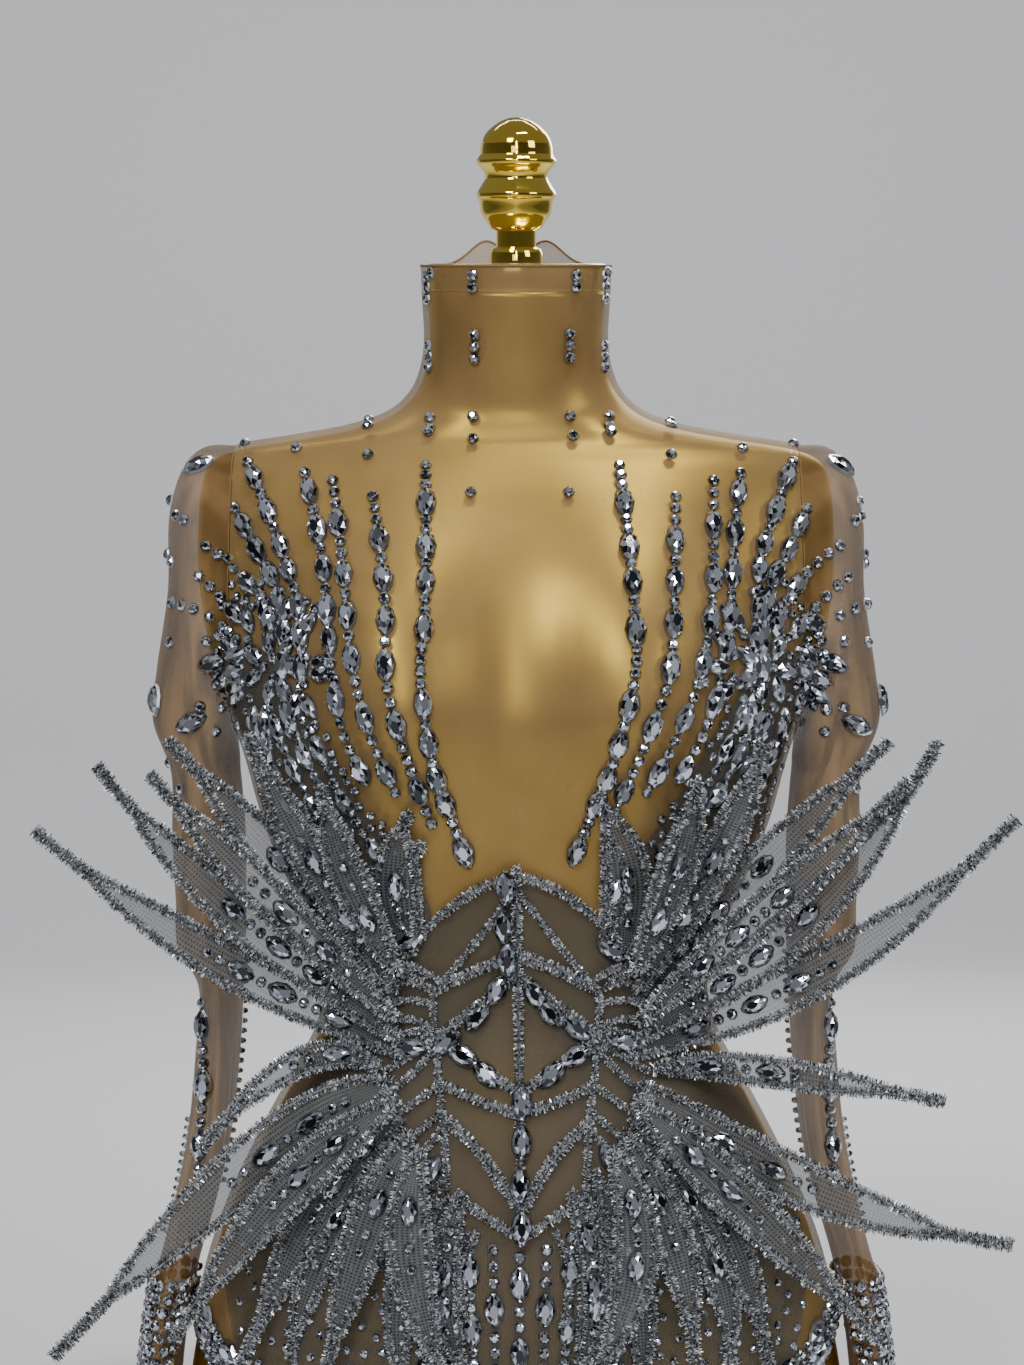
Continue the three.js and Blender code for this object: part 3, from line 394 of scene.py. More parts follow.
# A sheet laid through a grid of points in mm (rows, columns, xyz), which faces away from the point on its
# inner side. Its UV map is in metres.
def sheetThrough(points, closes, away):
    rows, columns = points.shape[:2]
    wide = np.linalg.norm(np.diff(points, axis=1), axis=2).sum(1).mean() * mm
    tall = np.linalg.norm(np.diff(points, axis=0), axis=2).sum(0).mean() * mm
    bm = bmesh.new()
    uv = bm.loops.layers.uv.new("cloth")
    bmesh.ops.create_grid(bm, x_segments=columns - 1, y_segments=rows - 1, size=0.5, calc_uvs=True)
    for face in bm.faces:
        for loop in face.loops:
            loop[uv].uv = (loop[uv].uv[0] * wide, loop[uv].uv[1] * tall)
    for vertex in bm.verts:
        column = round((vertex.co.x + 0.5) * (columns - 1))
        row = round((vertex.co.y + 0.5) * (rows - 1))
        vertex.co = Vector(points[row, column]) * mm
    bm.normal_update()
    inner = Vector(away) * mm
    outward = sum(f.normal.dot(f.calc_center_median() - inner) * f.calc_area() for f in bm.faces)
    if outward < 0:
        bmesh.ops.reverse_faces(bm, faces=bm.faces)
    if closes:
        bmesh.ops.remove_doubles(bm, verts=bm.verts, dist=1e-6)
    return bm


# A sheet kept as a piece: away is a point on its inner side, in mm
insideForm = (0, 0, 400)
behindFront = (0, 400, 300)


def keepSheet(name, points, finish, away, replaced=(), closes=False):
    return keep(name, meshFrom(sheetThrough(points, closes, away), name), finish, replaced)


# Along a route of points: how far each lies from the start, and a table's values at such distances
def reachAlong(route):
    return np.concatenate([[0], np.cumsum(np.linalg.norm(np.diff(route, axis=0), axis=1))])


def valuesAt(at, reached, table):
    return np.stack([np.interp(at, reached, column) for column in table.T], -1)


# Unit vectors along a route's slopes and across them
def frameOf(slopes):
    along = slopes / np.linalg.norm(slopes, axis=1, keepdims=True)
    side = np.cross(along, np.array([0.13, 0.97, 0.21]))
    side /= np.linalg.norm(side, axis=1, keepdims=True)
    return along, side, np.cross(along, side)


def ringOf(side, up, turn):
    return side[:, None] * np.cos(turn)[None, :, None] + up[:, None] * np.sin(turn)[None, :, None]


# A round cord through points in mm, as one tube with closed ends
def tubeThrough(points, radius, sides=8):
    along, side, up = frameOf(np.gradient(points, axis=0))
    ring = ringOf(side, up, np.linspace(0, 2 * math.pi, sides + 1))
    bm = sheetThrough(points[:, None] + ring * radius, True, tuple(points.mean(0)))
    bmesh.ops.recalc_face_normals(bm, faces=bm.faces)
    bmesh.ops.holes_fill(bm, edges=[e for e in bm.edges if e.is_boundary], sides=0)
    return bm


# The form: torso with its neck, and two stubs that it stands on
formSettings = {"columns": 120, "rowsPerSection": 7, "stubX": 115, "stubY": 6, "stubHalf": 73,
                "stubFront": 56, "stubBack": 66, "stubTop": 62, "stubCorner": 3}


def formTorso():
    rows = np.linspace(formTop, lastSection, formSettings["rowsPerSection"] * lastSection)
    angles = np.linspace(0, 2 * math.pi, formSettings["columns"] + 1)
    t, angle = np.meshgrid(rows, angles, indexing="ij")
    bm = sheetThrough(offForm(angle, t, np.full(t.shape, -clothSettings["formInset"])), True, insideForm)
    bmesh.ops.holes_fill(bm, edges=[e for e in bm.edges if e.is_boundary], sides=0)
    for side in (-1, 1):
        made = bmesh.ops.create_cone(
            bm, cap_ends=True, segments=64, radius1=mm, radius2=mm, depth=formSettings["stubTop"] * mm)
        verts = made["verts"]
        for vertex in verts:
            depth = formSettings["stubBack"] if vertex.co.y > 0 else formSettings["stubFront"]
            vertex.co.x = vertex.co.x * formSettings["stubHalf"] + side * formSettings["stubX"] * mm
            vertex.co.y = vertex.co.y * depth + formSettings["stubY"] * mm
            vertex.co.z += formSettings["stubTop"] / 2 * mm
        foot = [e for e in {e for v in verts for e in v.link_edges} if max(v.co.z for v in e.verts) < 1e-6]
        bmesh.ops.bevel(bm, geom=foot, offset=formSettings["stubCorner"] * mm, offset_type="OFFSET",
                        affect="EDGES", segments=3, profile=0.5, material=-1)
    return meshFrom(bm, "form_torso_polished")


keep("form_torso_polished", formTorso(), goldFinish, ["form_torso"])
print("form is made")


# Turned pieces of the neck: the cap, with a rounded foot and a domed rim, and the finial
capLean = 0.17
finialLean = 0.18
neckTop = sectionAt(formTop)
capFoot = np.array([0, neckTop[4], neckTop[0] + clothSettings["rest"]])
capSettings = {"radius": 53.2, "height": 16, "edge": 1.5}
finialSettings = {
    "crown": (4.8, 83.9), "top": 84.6,
    "crisp": 5,  # so many rows keep their corners, and a smooth curve runs through the rest
    "profile": [
        (15.9, 0), (15.9, 5.2), (14.6, 8.2), (11.9, 9.4), (11.9, 18.6),
        (15.2, 20.6), (18.2, 24.4), (20.9, 29), (21.8, 34.8), (22.6, 37.2),
        (23.6, 39), (23.3, 41.2), (20.8, 45.2), (18.6, 49.2), (19.0, 51.8),
        (21.0, 55), (23.3, 57.6), (23.7, 59.6), (22.4, 61.6), (21.6, 63.4),
        (21.3, 67), (20.2, 71.2), (17.8, 75.4), (13.6, 79.4), (9.2, 82.2),
    ],
}


# Spins a profile of (radius, height) in mm about a leaning axis
def spinPiece(name, profile, lean, foot, steps):
    bm = bmesh.new()
    verts = [bm.verts.new((radius * mm, 0, up * mm)) for radius, up in profile]
    edges = [bm.edges.new(pair) for pair in zip(verts, verts[1:])]
    bmesh.ops.spin(bm, geom=verts + edges, axis=(0, 0, 1), cent=(0, 0, 0), dvec=(0, 0, 0),
                   angle=2 * math.pi, steps=steps, use_merge=True)
    bmesh.ops.remove_doubles(bm, verts=bm.verts, dist=1e-6)
    bmesh.ops.recalc_face_normals(bm, faces=bm.faces)
    tilt = Matrix.Rotation(math.atan(lean), 3, "X")
    for vertex in bm.verts:
        vertex.co = tilt @ vertex.co + Vector(foot) * mm
    return meshFrom(bm, name)


def capProfile():
    radius, height, edge = capSettings["radius"], capSettings["height"], capSettings["edge"]
    turns = np.linspace(0, math.pi / 2, 5)
    corner = [(radius - edge + edge * math.sin(a), edge - edge * math.cos(a)) for a in turns]
    top = [(r, height - up) for r, up in reversed(corner)]
    return [(0, 0), *corner, (radius, height * 0.5), *top, (radius - 4, height), (0, height)]


def finialProfile():
    table = np.array(finialSettings["profile"], float)
    crisp = finialSettings["crisp"]
    turned = table[crisp - 1:]
    fine = throughRows(turned, np.linspace(0, len(turned) - 1, 100))
    return [(0, 0), *table[:crisp], *fine[1:], finialSettings["crown"], (0, finialSettings["top"])]


cap = keep("neck_cap", spinPiece("neck_cap", capProfile(), capLean, capFoot, 96), bandGold,
           ["form_cap"])
capTilt = math.atan(capLean)
capRise = capSettings["height"] + clothSettings["rest"]
finialFoot = capFoot + capRise * np.array([0, -math.sin(capTilt), math.cos(capTilt)])
finial = keep("turned_finial", spinPiece("turned_finial", finialProfile(), finialLean, finialFoot, 72),
              capGold, ["form_finial"])
for turned in (cap, finial):
    split = turned.modifiers.new("crisp edges", "EDGE_SPLIT")
    split.split_angle = math.radians(40)
print("cap and finial are turned")


# Cloth panels. The leg opening's edge is the share of the half width, then sections below the hip.
panelSettings = {
    "columns": 110, "rowsPerSection": 6, "legRows": 36, "seam": 0.3,
    "legEdge": {"share": [0, 0.18, 0.38, 0.62, 0.86, 1], "front": [5, 5, 4.4, 3.2, 1.9, 0.8],
                "back": [5, 5, 4.6, 3.6, 2.2, 0.8]},
    "peak": {"x": 18, "rise": 15, "spread": 14},
    "zipFoot": 25, "zipHalf": 3,
}
clothMiddle = clothSettings["gap"] + clothSettings["wall"] / 2


def sideAngle(t):
    half = sectionAt(t)[..., 1]
    open_ = np.where((t > armholeTop) & (t < armholeFoot), armholeAngle(t, armholeHalf), 0)
    return open_ + panelSettings["seam"] / 2 / half


def panelGrid(side, startAt, endAt, columns, off):
    upper = np.linspace(0, hipSection, hipSection * panelSettings["rowsPerSection"] + 1)
    lower = np.linspace(0, 1, panelSettings["legRows"] + 1)[1:]
    shares = np.linspace(0, 1, columns + 1)
    start, end = startAt(upper), endAt(upper)
    angles = start[:, None] + (end - start)[:, None] * shares
    below = np.repeat(angles[-1:], len(lower), 0)
    edge = panelSettings["legEdge"]
    reach = np.interp(np.abs(np.cos(below)), edge["share"], edge[side])
    t = np.concatenate([np.repeat(upper[:, None], columns + 1, 1), hipSection + reach * lower[:, None]])
    angles = np.concatenate([angles, below])
    points = offForm(angles, t, np.full(t.shape, off))
    if side == "back":  # the collar rises to a soft peak on each side of the zip
        peak = panelSettings["peak"]
        rise = peak["rise"] * np.exp(-(((np.abs(points[0, :, 0]) - peak["x"]) / peak["spread"]) ** 2))
        fade = 1 - smooth(t[:, 0] / 1.0)
        points[:, :, 2] += fade[:, None] * rise[None, :]
    return points


def backEdge(t):
    section = sectionAt(t)
    gap = np.where(t < panelSettings["zipFoot"], panelSettings["zipHalf"] + panelSettings["seam"],
                   panelSettings["seam"] / 2)
    return math.pi / 2 - np.arccos(np.minimum(1, (gap / section[:, 1]) ** (section[:, 6] / 2)))


def areaOf(points):
    a, b, c, d = points[:-1, :-1], points[:-1, 1:], points[1:, 1:], points[1:, :-1]
    return (np.linalg.norm(np.cross(c - a, d - b), axis=-1).sum() / 2) * mm * mm


# Works out a sheet's flat cut, its width and length and its own area, and keeps none of them
def stateSheet(points):
    area = areaOf(points)
    wide = np.linalg.norm(np.diff(points, axis=1), axis=2).sum(1).max() * mm
    tall = np.linalg.norm(np.diff(points, axis=0), axis=2).sum(0).max() * mm
    tall = max(tall, area / wide)


quarter = math.pi / 2
backTurn = 3 * quarter
halfColumns = panelSettings["columns"] // 2
panelTable = {
    "front_panel": ("front", "bodysuit_front", sideAngle, lambda t: math.pi - sideAngle(t),
                    panelSettings["columns"]),
    "back_panel_right": ("back", "bodysuit_back_right", lambda t: backTurn + backEdge(t),
                         lambda t: 2 * math.pi - sideAngle(t), halfColumns),
    "back_panel_left": ("back", "bodysuit_back_left", lambda t: math.pi + sideAngle(t),
                        lambda t: backTurn - backEdge(t), halfColumns),
}
panelPoints = {}
for name, (side, node, startAt, endAt, columns) in panelTable.items():
    points = panelGrid(side, startAt, endAt, columns, clothMiddle)
    panelPoints[name] = points
    piece = keepSheet(name, points, skinMesh, insideForm, [node])
    stateSheet(points)


def gussetGrid(off):
    half = 30
    drop = 0.02
    t = lastSection - 1 + drop
    places = np.linspace(-half, half, 13)
    angle = np.arccos(places / sectionAt(t)[1])
    section = formSections[lastSection]
    flat = [np.stack([places, np.full(13, y), np.full(13, section[0] - off)], -1)
            for y in (-section[2], -section[2] / 2, 0.0, section[3] / 2, section[3])]
    coarse = np.array([offForm(angle, t, np.full(13, off)), *flat, offForm(-angle, t, np.full(13, off))])
    return throughRows(coarse, np.linspace(0, len(coarse) - 1, 49))


gussetPoints = gussetGrid(clothMiddle)
gusset = keepSheet("gusset_strip", gussetPoints, skinMesh, insideForm, ["gusset"])
stateSheet(gussetPoints)
print("panels are laid")

# Sleeves: rings of the head, then sections of the flattened tube, in mm
headRings = np.array([  # outer end x and z, inner end x and z, half depth
    (186, 644.5, 169.2, 476, 51),
    (199, 632, 169, 472, 53),
    (207, 604, 168, 467, 52),
    (208, 560, 167, 462, 50),
    (215, 512, 166, 457, 48),
    (218, 480, 165.5, 450, 46),
    (207, 448, 164.5, 440, 44),
], dtype=float)
sleeveSections = np.array([  # height, inner and outer side, half depth, centre
    (412, 162.5, 206, 43, 2),
    (372, 162, 204, 41, 2),
    (344, 162.5, 203, 40, 3),
    (321, 164, 190.5, 41, 4),
    (282, 166, 192, 39, 3),
    (238, 170, 196, 36, 0),
    (198, 178, 203, 34, -3),
    (162, 188, 212, 33, -5),
    (150, 190.5, 216, 34, -6),
    (112, 197, 221, 34, -8),
    (72, 201, 224, 35, -9),
], dtype=float)
sleeveSettings = {"turns": 72, "rowsPerRing": 9, "fullness": 0.85, "armpitLift": 0.25, "headClear": 1.6,
                  "headCentre": 2.0, "ridge": 0.45, "ridgeAway": 1.8}  # a crease has a low ridge beside it

# Creases of an empty sleeve: height, place round the tube (0 outer, 0.25 front), length, width, depth
# and how far it slants, in mm and shares of a turn
sleeveCreases = [
    (560, 0.20, 90, 0.05, 4.0, 0.10),
    (520, 0.32, 80, 0.04, 4.8, -0.08),
    (470, 0.24, 70, 0.05, 5.2, 0.12),
    (440, 0.12, 60, 0.05, 4.4, -0.10),
    (400, 0.28, 90, 0.05, 4.8, 0.04),
    (350, 0.18, 60, 0.05, 4.8, 0.14),
    (325, 0.30, 60, 0.06, 5.6, -0.12),
    (270, 0.22, 110, 0.05, 4.8, 0.03),
    (215, 0.30, 60, 0.05, 4.0, -0.06),
    (520, 0.75, 120, 0.06, 4.4, 0.08),
    (430, 0.68, 90, 0.05, 4.4, -0.10),
    (330, 0.78, 90, 0.06, 5.2, 0.10),
    (240, 0.72, 100, 0.05, 4.4, -0.04),
]


def sleeveGrid(side, inset):
    half = armholeHalf + 3 * panelSettings["seam"]
    heads = np.linspace(armholeTop - 0.6, armholeFoot + 0.6, 700)
    wide = heads[sectionAt(heads)[:, 1] > half]
    topT, footT = wide[0], wide[-1] - sleeveSettings["armpitLift"]
    topZ, footZ = sectionAt(np.array([topT, footT]))[:, 0]
    turns = np.linspace(0, 2 * math.pi, sleeveSettings["turns"] + 1)
    heights = (topZ + footZ) / 2 + (topZ - footZ) / 2 * np.cos(turns)
    t = np.clip(rowOf(heights), topT, footT)
    angle = armholeAngle(t, half) * np.where(turns > math.pi, -1, 1)
    start = offForm(angle, t, np.full(t.shape, clothMiddle))

    def ring(farX, farZ, nearX, nearZ, depth, centre):
        along = np.cos(turns)
        across = np.abs(np.sin(turns)) ** sleeveSettings["fullness"]
        x = (farX + nearX) / 2 + (farX - nearX) / 2 * along
        z = (farZ + nearZ) / 2 + (farZ - nearZ) / 2 * along
        forward = np.where(turns < math.pi, -1, 1)
        own = depth * across + centre * forward
        held = depthOver(x, z, sleeveSettings["headClear"] + clothSettings["wall"])
        free = (np.abs(np.sin(turns)) < 1e-6) | (x > sectionAt(rowOf(z))[:, 1])
        front = np.where(free | (turns > math.pi), own, np.maximum(own, held))
        return np.stack([x, front * forward, z], -1)

    rings = [start]
    rings += [ring(*row, sleeveSettings["headCentre"]) for row in headRings]
    rings += [ring(row[2], row[0], row[1], row[0], row[3], row[4]) for row in sleeveSections]
    coarse = np.array(rings)
    rows = np.linspace(0, len(coarse) - 1, (len(coarse) - 1) * sleeveSettings["rowsPerRing"] + 1)
    grid = throughRows(coarse, rows)
    middle = grid[:, :-1].mean(1, keepdims=True)
    out = grid - middle
    out /= np.linalg.norm(out, axis=2, keepdims=True)
    place = np.broadcast_to(turns / (2 * math.pi), grid.shape[:2])
    dent = np.zeros(grid.shape[:2])
    for z, at, length, width, depth, slant in sleeveCreases:
        down = (grid[:, :, 2] - z) / length
        beside = (place - at - slant * down + 0.5) % 1 - 0.5
        crease = np.exp(-(beside / width) ** 2)
        ridge = np.exp(-((beside - sleeveSettings["ridgeAway"] * width) / width) ** 2)
        dent += depth * np.exp(-(down * 2) ** 2) * (crease - sleeveSettings["ridge"] * ridge)
    grid = grid - out * (inset + dent * smooth((rows - 1.5) / 2)[:, None])[..., None]
    grid[:, :, 0] *= side
    return grid


sleevePoints = {}
for sideName, side in (("left", -1), ("right", 1)):
    points = sleeveGrid(side, clothSettings["wall"] / 2)
    sleevePoints[sideName] = points
    name = "sleeve_" + sideName + "_net"
    inSleeve = (side * 188, 0, 350)
    piece = keepSheet(name, points, sleeveNet, inSleeve, ["sleeve_" + sideName], True)
    stateSheet(points)
print("sleeves are hung")

# Fins of each fan, in mm: root, a middle point and tip as x and z, then the full width
finTable = {
    "fin_upper_left": [
        (-62, 292, -165, 345, -267, 421, 26), (-66, 301, -156, 372, -232, 457, 26),
        (-68, 311.5, -143, 386, -203, 452, 24), (-69, 318, -134, 400, -195, 470, 26),
        (-69, 327, -119, 408, -152, 473, 24), (-67, 338, -96, 398, -109, 445, 24),
        (-60, 347, -68, 392, -60, 430, 29),
    ],
    "fin_upper_right": [
        (62, 292, 168, 338, 277, 427, 28), (66, 300, 160, 368, 233, 470, 26),
        (68, 309, 147, 380, 216, 448, 24), (69, 318, 138, 396, 208, 470, 26),
        (69, 327, 116, 408, 140, 468, 24), (67, 338, 92, 402, 100, 448, 24),
        (60, 347, 62, 396, 44, 440, 29),
    ],
    "fin_lower_left": [
        (-78, 283, -125, 285, -178, 240, 18), (-70, 276, -152, 228, -255, 131, 36),
        (-68, 267, -132, 214, -190, 138, 28), (-65, 258, -112, 204, -157, 112, 28),
        (-60, 249, -86, 188, -108, 110, 26), (-54, 240, -58, 180, -36, 110, 27),
    ],
    "fin_lower_right": [
        (78, 283, 152, 281, 238, 270, 19), (70, 276, 158, 222, 273, 193, 30),
        (68, 267, 132, 206, 202, 138, 28), (65, 258, 116, 196, 144, 112, 26),
        (60, 249, 88, 190, 100, 122, 24), (54, 240, 66, 178, 36, 108, 27),
    ],
}
# Shorter petals sewn over the belly and under the bust, flat on the cloth, and given as the fins are
innerPetals = [
    (-44, 226, -64, 160, -62, 96, 22), (-30, 218, -40, 160, -22, 104, 20),
    (44, 226, 68, 160, 68, 92, 22), (30, 218, 44, 160, 26, 100, 20),
    (-78, 240, -112, 176, -128, 118, 22), (78, 240, 114, 172, 120, 112, 22),
    (-54, 356, -62, 386, -52, 412, 18), (50, 356, 56, 390, 50, 420, 18),
    (-80, 330, -104, 368, -120, 420, 18), (80, 330, 106, 366, 124, 420, 18),
]
fanSettings = {"near": 62, "far": 114, "from": 70, "to": 262, "ease": 6, "layers": 3, "rootStep": 5.95,
               "layerStep": 7.6, "spreadBy": 0.2, "forkAt": 0.86, "fullness": 0.7}
tinselSettings = {"radius": 2.7, "core": 1.1, "coreStep": 5, "strandsPerMm": 9, "width": 0.58,
                  "lean": 0.25, "reach": (0.8, 1.45), "turns": 8}


def fanDepth(x, z):
    body = depthOver(x, z, clothOut + clothSettings["rest"])
    reach = (np.abs(x) - fanSettings["from"]) / (fanSettings["to"] - fanSettings["from"])
    free = fanSettings["near"] + (fanSettings["far"] - fanSettings["near"]) * smooth(reach)
    return (body + free + np.hypot(body - free, fanSettings["ease"])) / 2


# Points across a fin at shares s of its length: the offsets are shares of its half width
def finGrid(row, layer, s, offsets):
    rootX, rootZ, midX, midZ, tipX, tipZ, width = row
    root, mid, tip = np.array([rootX, rootZ]), np.array([midX, midZ]), np.array([tipX, tipZ])
    bend = 2 * mid - (root + tip) / 2
    s = s[:, None]
    place = (1 - s) ** 2 * root + 2 * s * (1 - s) * bend + s**2 * tip
    along = 2 * (1 - s) * (bend - root) + 2 * s * (tip - bend)
    along /= np.linalg.norm(along, axis=1, keepdims=True)
    s = s[:, 0]
    opening = np.abs(np.sin(math.pi * np.minimum(s / fanSettings["forkAt"], 1))) ** fanSettings["fullness"]
    radius = tinselSettings["radius"]
    half = np.maximum((width / 2 - radius) * opening, radius * 0.4)
    offset = half[:, None] * np.asarray(offsets)
    x = place[:, :1] + along[:, 1:] * offset
    z = place[:, 1:] - along[:, :1] * offset
    step = fanSettings["rootStep"] + (fanSettings["layerStep"] - fanSettings["rootStep"]) * smooth(
        s / fanSettings["spreadBy"])
    lift = radius + layer * step * smooth(s / 0.02)
    return np.stack([x, -fanDepth(x, z) - lift[:, None], z], -1)


# Tinsel: narrow strips of film through a thin core, as loose blades that cross it at every angle
def tinselBlades(route, radius):
    reached = reachAlong(route)
    count = int(reached[-1] * tinselSettings["strandsPerMm"])
    at = np.sort(draw.uniform(0, reached[-1], count))
    centre = valuesAt(at, reached, route)
    along, side, up = frameOf(valuesAt(at, reached, np.gradient(route, axis=0)))
    turn = draw.uniform(0, 2 * math.pi, (count, 1))
    reach = radius * draw.uniform(*tinselSettings["reach"], (count, 1))
    lean = draw.normal(0, tinselSettings["lean"], (count, 1))
    blade = side * np.cos(turn) + up * np.sin(turn) + along * lean
    blade *= reach / np.linalg.norm(blade, axis=1, keepdims=True)
    flat = np.cross(blade, draw.normal(0, 1, (count, 3)))
    flat *= tinselSettings["width"] / 2 / np.linalg.norm(flat, axis=1, keepdims=True)
    corners = [centre + end * blade + edge * flat for end, edge in ((-1, -1), (-1, 1), (1, 1), (1, -1))]
    return np.stack(corners, 1).reshape(-1, 3)


# One mesh from many copies of a few faces: corner points, each face's corners and its finish
def joinedMesh(name, corners, loops, starts, finishes):
    mesh = bpy.data.meshes.new(name)
    mesh.vertices.add(len(corners))
    mesh.vertices.foreach_set("co", (corners * mm).ravel())
    mesh.loops.add(len(loops))
    mesh.loops.foreach_set("vertex_index", loops.astype(np.int32))
    mesh.polygons.add(len(starts))
    mesh.polygons.foreach_set("loop_start", starts.astype(np.int32))
    mesh.polygons.foreach_set("material_index", finishes.astype(np.int32))
    mesh.update(calc_edges=True)
    # A random value for each face, with which the glinting finishes paint glints and dark reflections
    paintedGlint = mesh.attributes.new("paintedGlint", "FLOAT", "FACE")
    paintedGlint.data.foreach_set("value", draw.uniform(0, 1, len(starts)).astype(np.float32))
    mesh.validate()
    mesh.shade_flat()
    return mesh


# Tinsel cords: blades all along each route, over a core of eight-sided rings
def tinselMesh(name, routes, radius):
    blades = np.concatenate([tinselBlades(route, radius) for route in routes])
    count = len(blades) // 4
    points, loops = [blades], [np.arange(count * 4)]
    first = count * 4
    turns = tinselSettings["turns"]
    core = radius * tinselSettings["core"] / tinselSettings["radius"]
    for route in routes:
        reached = reachAlong(route)
        at = np.linspace(0, reached[-1], max(3, int(reached[-1] / tinselSettings["coreStep"])))
        centre = valuesAt(at, reached, route)
        along, side, up = frameOf(np.gradient(centre, axis=0))
        ring = ringOf(side, up, np.linspace(0, 2 * math.pi, turns, endpoint=False))
        points.append((centre[:, None] + ring * core).reshape(-1, 3))
        lowest = first + np.arange(len(at) - 1)[:, None] * turns
        low, next_ = lowest + np.arange(turns), lowest + (np.arange(turns) + 1) % turns
        loops.append(np.stack([low, next_, next_ + turns, low + turns], -1).ravel())
        first += len(at) * turns
    loops = np.concatenate(loops)
    faces = len(loops) // 4
    finishes = np.where(np.arange(faces) < count, 0, 1)
    return joinedMesh(name, np.concatenate(points), loops, np.arange(0, len(loops), 4), finishes)


finStations = np.linspace(0, 1, 49) ** 1.15
finPieces = 0
for fanName, rows in finTable.items():
    for number, row in enumerate(rows, 1):
        layer = (number - 1) % fanSettings["layers"]
        node = f"{fanName}_{number}"
        edges = finGrid(row, layer, finStations, (-1, 1))
        cords = tinselMesh(node + "_tinsel", [edges[:, 0], edges[:, 1]], tinselSettings["radius"])
        edge = keep(node + "_tinsel", cords, tinselFinishes, [node])
        webPoints = finGrid(row, layer, finStations[::2], np.linspace(-1, 1, 7))
        web = keepSheet(node + "_tulle", webPoints, tulleNet, behindFront)
        stateSheet(webPoints)
        finPieces += 2
print("fins are sewn on:", finPieces, "pieces")


# The same outline, laid on the cloth itself
def petalGrid(row, s, offsets, lift):
    points = finGrid(row, 0, s, offsets)
    points[..., 1] = -depthOver(points[..., 0], points[..., 2], clothOut + lift)
    return points


petalSettings = {"radius": 2.3, "cordOff": 2.2, "webOff": 1.6}
petalCords = []
for number, row in enumerate(innerPetals, 1):
    edges = petalGrid(row, finStations, (-1, 1), petalSettings["cordOff"])
    petalCords += [edges[:, 0], edges[:, 1]]
    webPoints = petalGrid(row, finStations[::2], np.linspace(-1, 1, 7), petalSettings["webOff"])
    name = f"inner_petal_{number}_tulle"
    web = keepSheet(name, webPoints, tulleNet, behindFront)
    stateSheet(webPoints)
petalTinsel = tinselMesh("inner_petals_tinsel", petalCords, petalSettings["radius"])
keep("inner_petals_tinsel", petalTinsel, tinselFinishes)
print("inner petals are sewn on:", len(innerPetals))

# Centre ornament: arms on the front, each through places (x, z), on both sides of a leaning spine
latticeSettings = {"radius": 2.6, "top": 399, "foot": 188, "shift": 3}
latticeArms = [
    [(0, 394), (22, 386), (43, 371)],
    [(0, 350), (20, 342), (43, 331)],
    [(0, 338), (20, 322), (45, 303)],
    [(45, 303), (24, 288), (0, 271)],
    [(43, 276), (22, 267), (0, 260)],
    [(40, 257), (18, 234), (0, 206)],
    [(38, 216), (18, 203), (0, 192)],
]


def spineX(z):
    settings = latticeSettings
    return settings["shift"] * (settings["top"] - z) / (settings["top"] - settings["foot"])


def routeOnFront(places, radius):
    places = np.array(places, float)
    fine = throughRows(places, np.linspace(0, len(places) - 1, 60))
    depth = depthOver(fine[:, 0], fine[:, 1], clothOut + clothSettings["rest"]) + radius
    return np.stack([fine[:, 0], -depth, fine[:, 1]], -1)


latticeRoutes = [[(spineX(z), z) for z in np.linspace(latticeSettings["top"], latticeSettings["foot"], 6)]]
for places in latticeArms:
    latticeRoutes += [[(spineX(z) + side * x, z) for x, z in places] for side in (-1, 1)]
latticeCords = [routeOnFront(route, latticeSettings["radius"]) for route in latticeRoutes]
ornamentMesh = tinselMesh("centre_ornament", latticeCords, latticeSettings["radius"])
keep("centre_ornament", ornamentMesh, tinselFinishes, ["centre_lattice"])

# Grey net over the waist and belly, laid on the front: its top edge and sides as places (x, z)
waistNet = {
    "edge": [(0, 396), (30, 385), (60, 356), (92, 340), (112, 322), (112, 292), (134, 262), (152, 225),
             (166, 190), (170, 160), (164, 130), (156, 105), (138, 84), (110, 70), (70, 61), (0, 58)],
    "columns": 41, "rows": 90, "off": 1.0,
}


def waistNetGrid():
    edge = np.array(waistNet["edge"], float)
    heights = np.linspace(edge[0, 1] - 0.5, edge[-1, 1] + 0.5, waistNet["rows"])
    reach = np.interp(heights, edge[::-1, 1], edge[::-1, 0])
    x = reach[:, None] * np.linspace(-1, 1, waistNet["columns"])
    z = np.repeat(heights[:, None], waistNet["columns"], 1)
    return np.stack([x, -depthOver(x, z, clothOut + waistNet["off"]), z], -1)


# The same net at each side, from the armpit down to the waist: its inner edge as places (z, x), and its
# outer one as a share of the form's half width
sideNet = {
    "edge": [(324, 107), (340, 93), (356, 61), (368, 47), (380, 50), (400, 64), (430, 86), (460, 104),
             (490, 122), (520, 140)],
    "outer": 0.985, "columns": 17,
}
sideNetEdge = np.array(sideNet["edge"], float)
for sideName, side in (("left", -1), ("right", 1)):
    heights = np.linspace(sideNetEdge[0, 0], sideNetEdge[-1, 0], waistNet["rows"])
    inner = np.interp(heights, sideNetEdge[:, 0], sideNetEdge[:, 1])
    outer = sideNet["outer"] * sectionAt(rowOf(heights))[:, 1]
    x = inner[:, None] + (outer - inner)[:, None] * np.linspace(0, 1, sideNet["columns"])
    z = np.repeat(heights[:, None], sideNet["columns"], 1)
    points = np.stack([side * x, -depthOver(x, z, clothOut + waistNet["off"]), z], -1)
    piece = keepSheet("side_net_" + sideName, points, waistTulle, behindFront)
    stateSheet(points)

waistPoints = waistNetGrid()
waistPiece = keepSheet("waist_net", waistPoints, waistTulle, behindFront)
stateSheet(waistPoints)

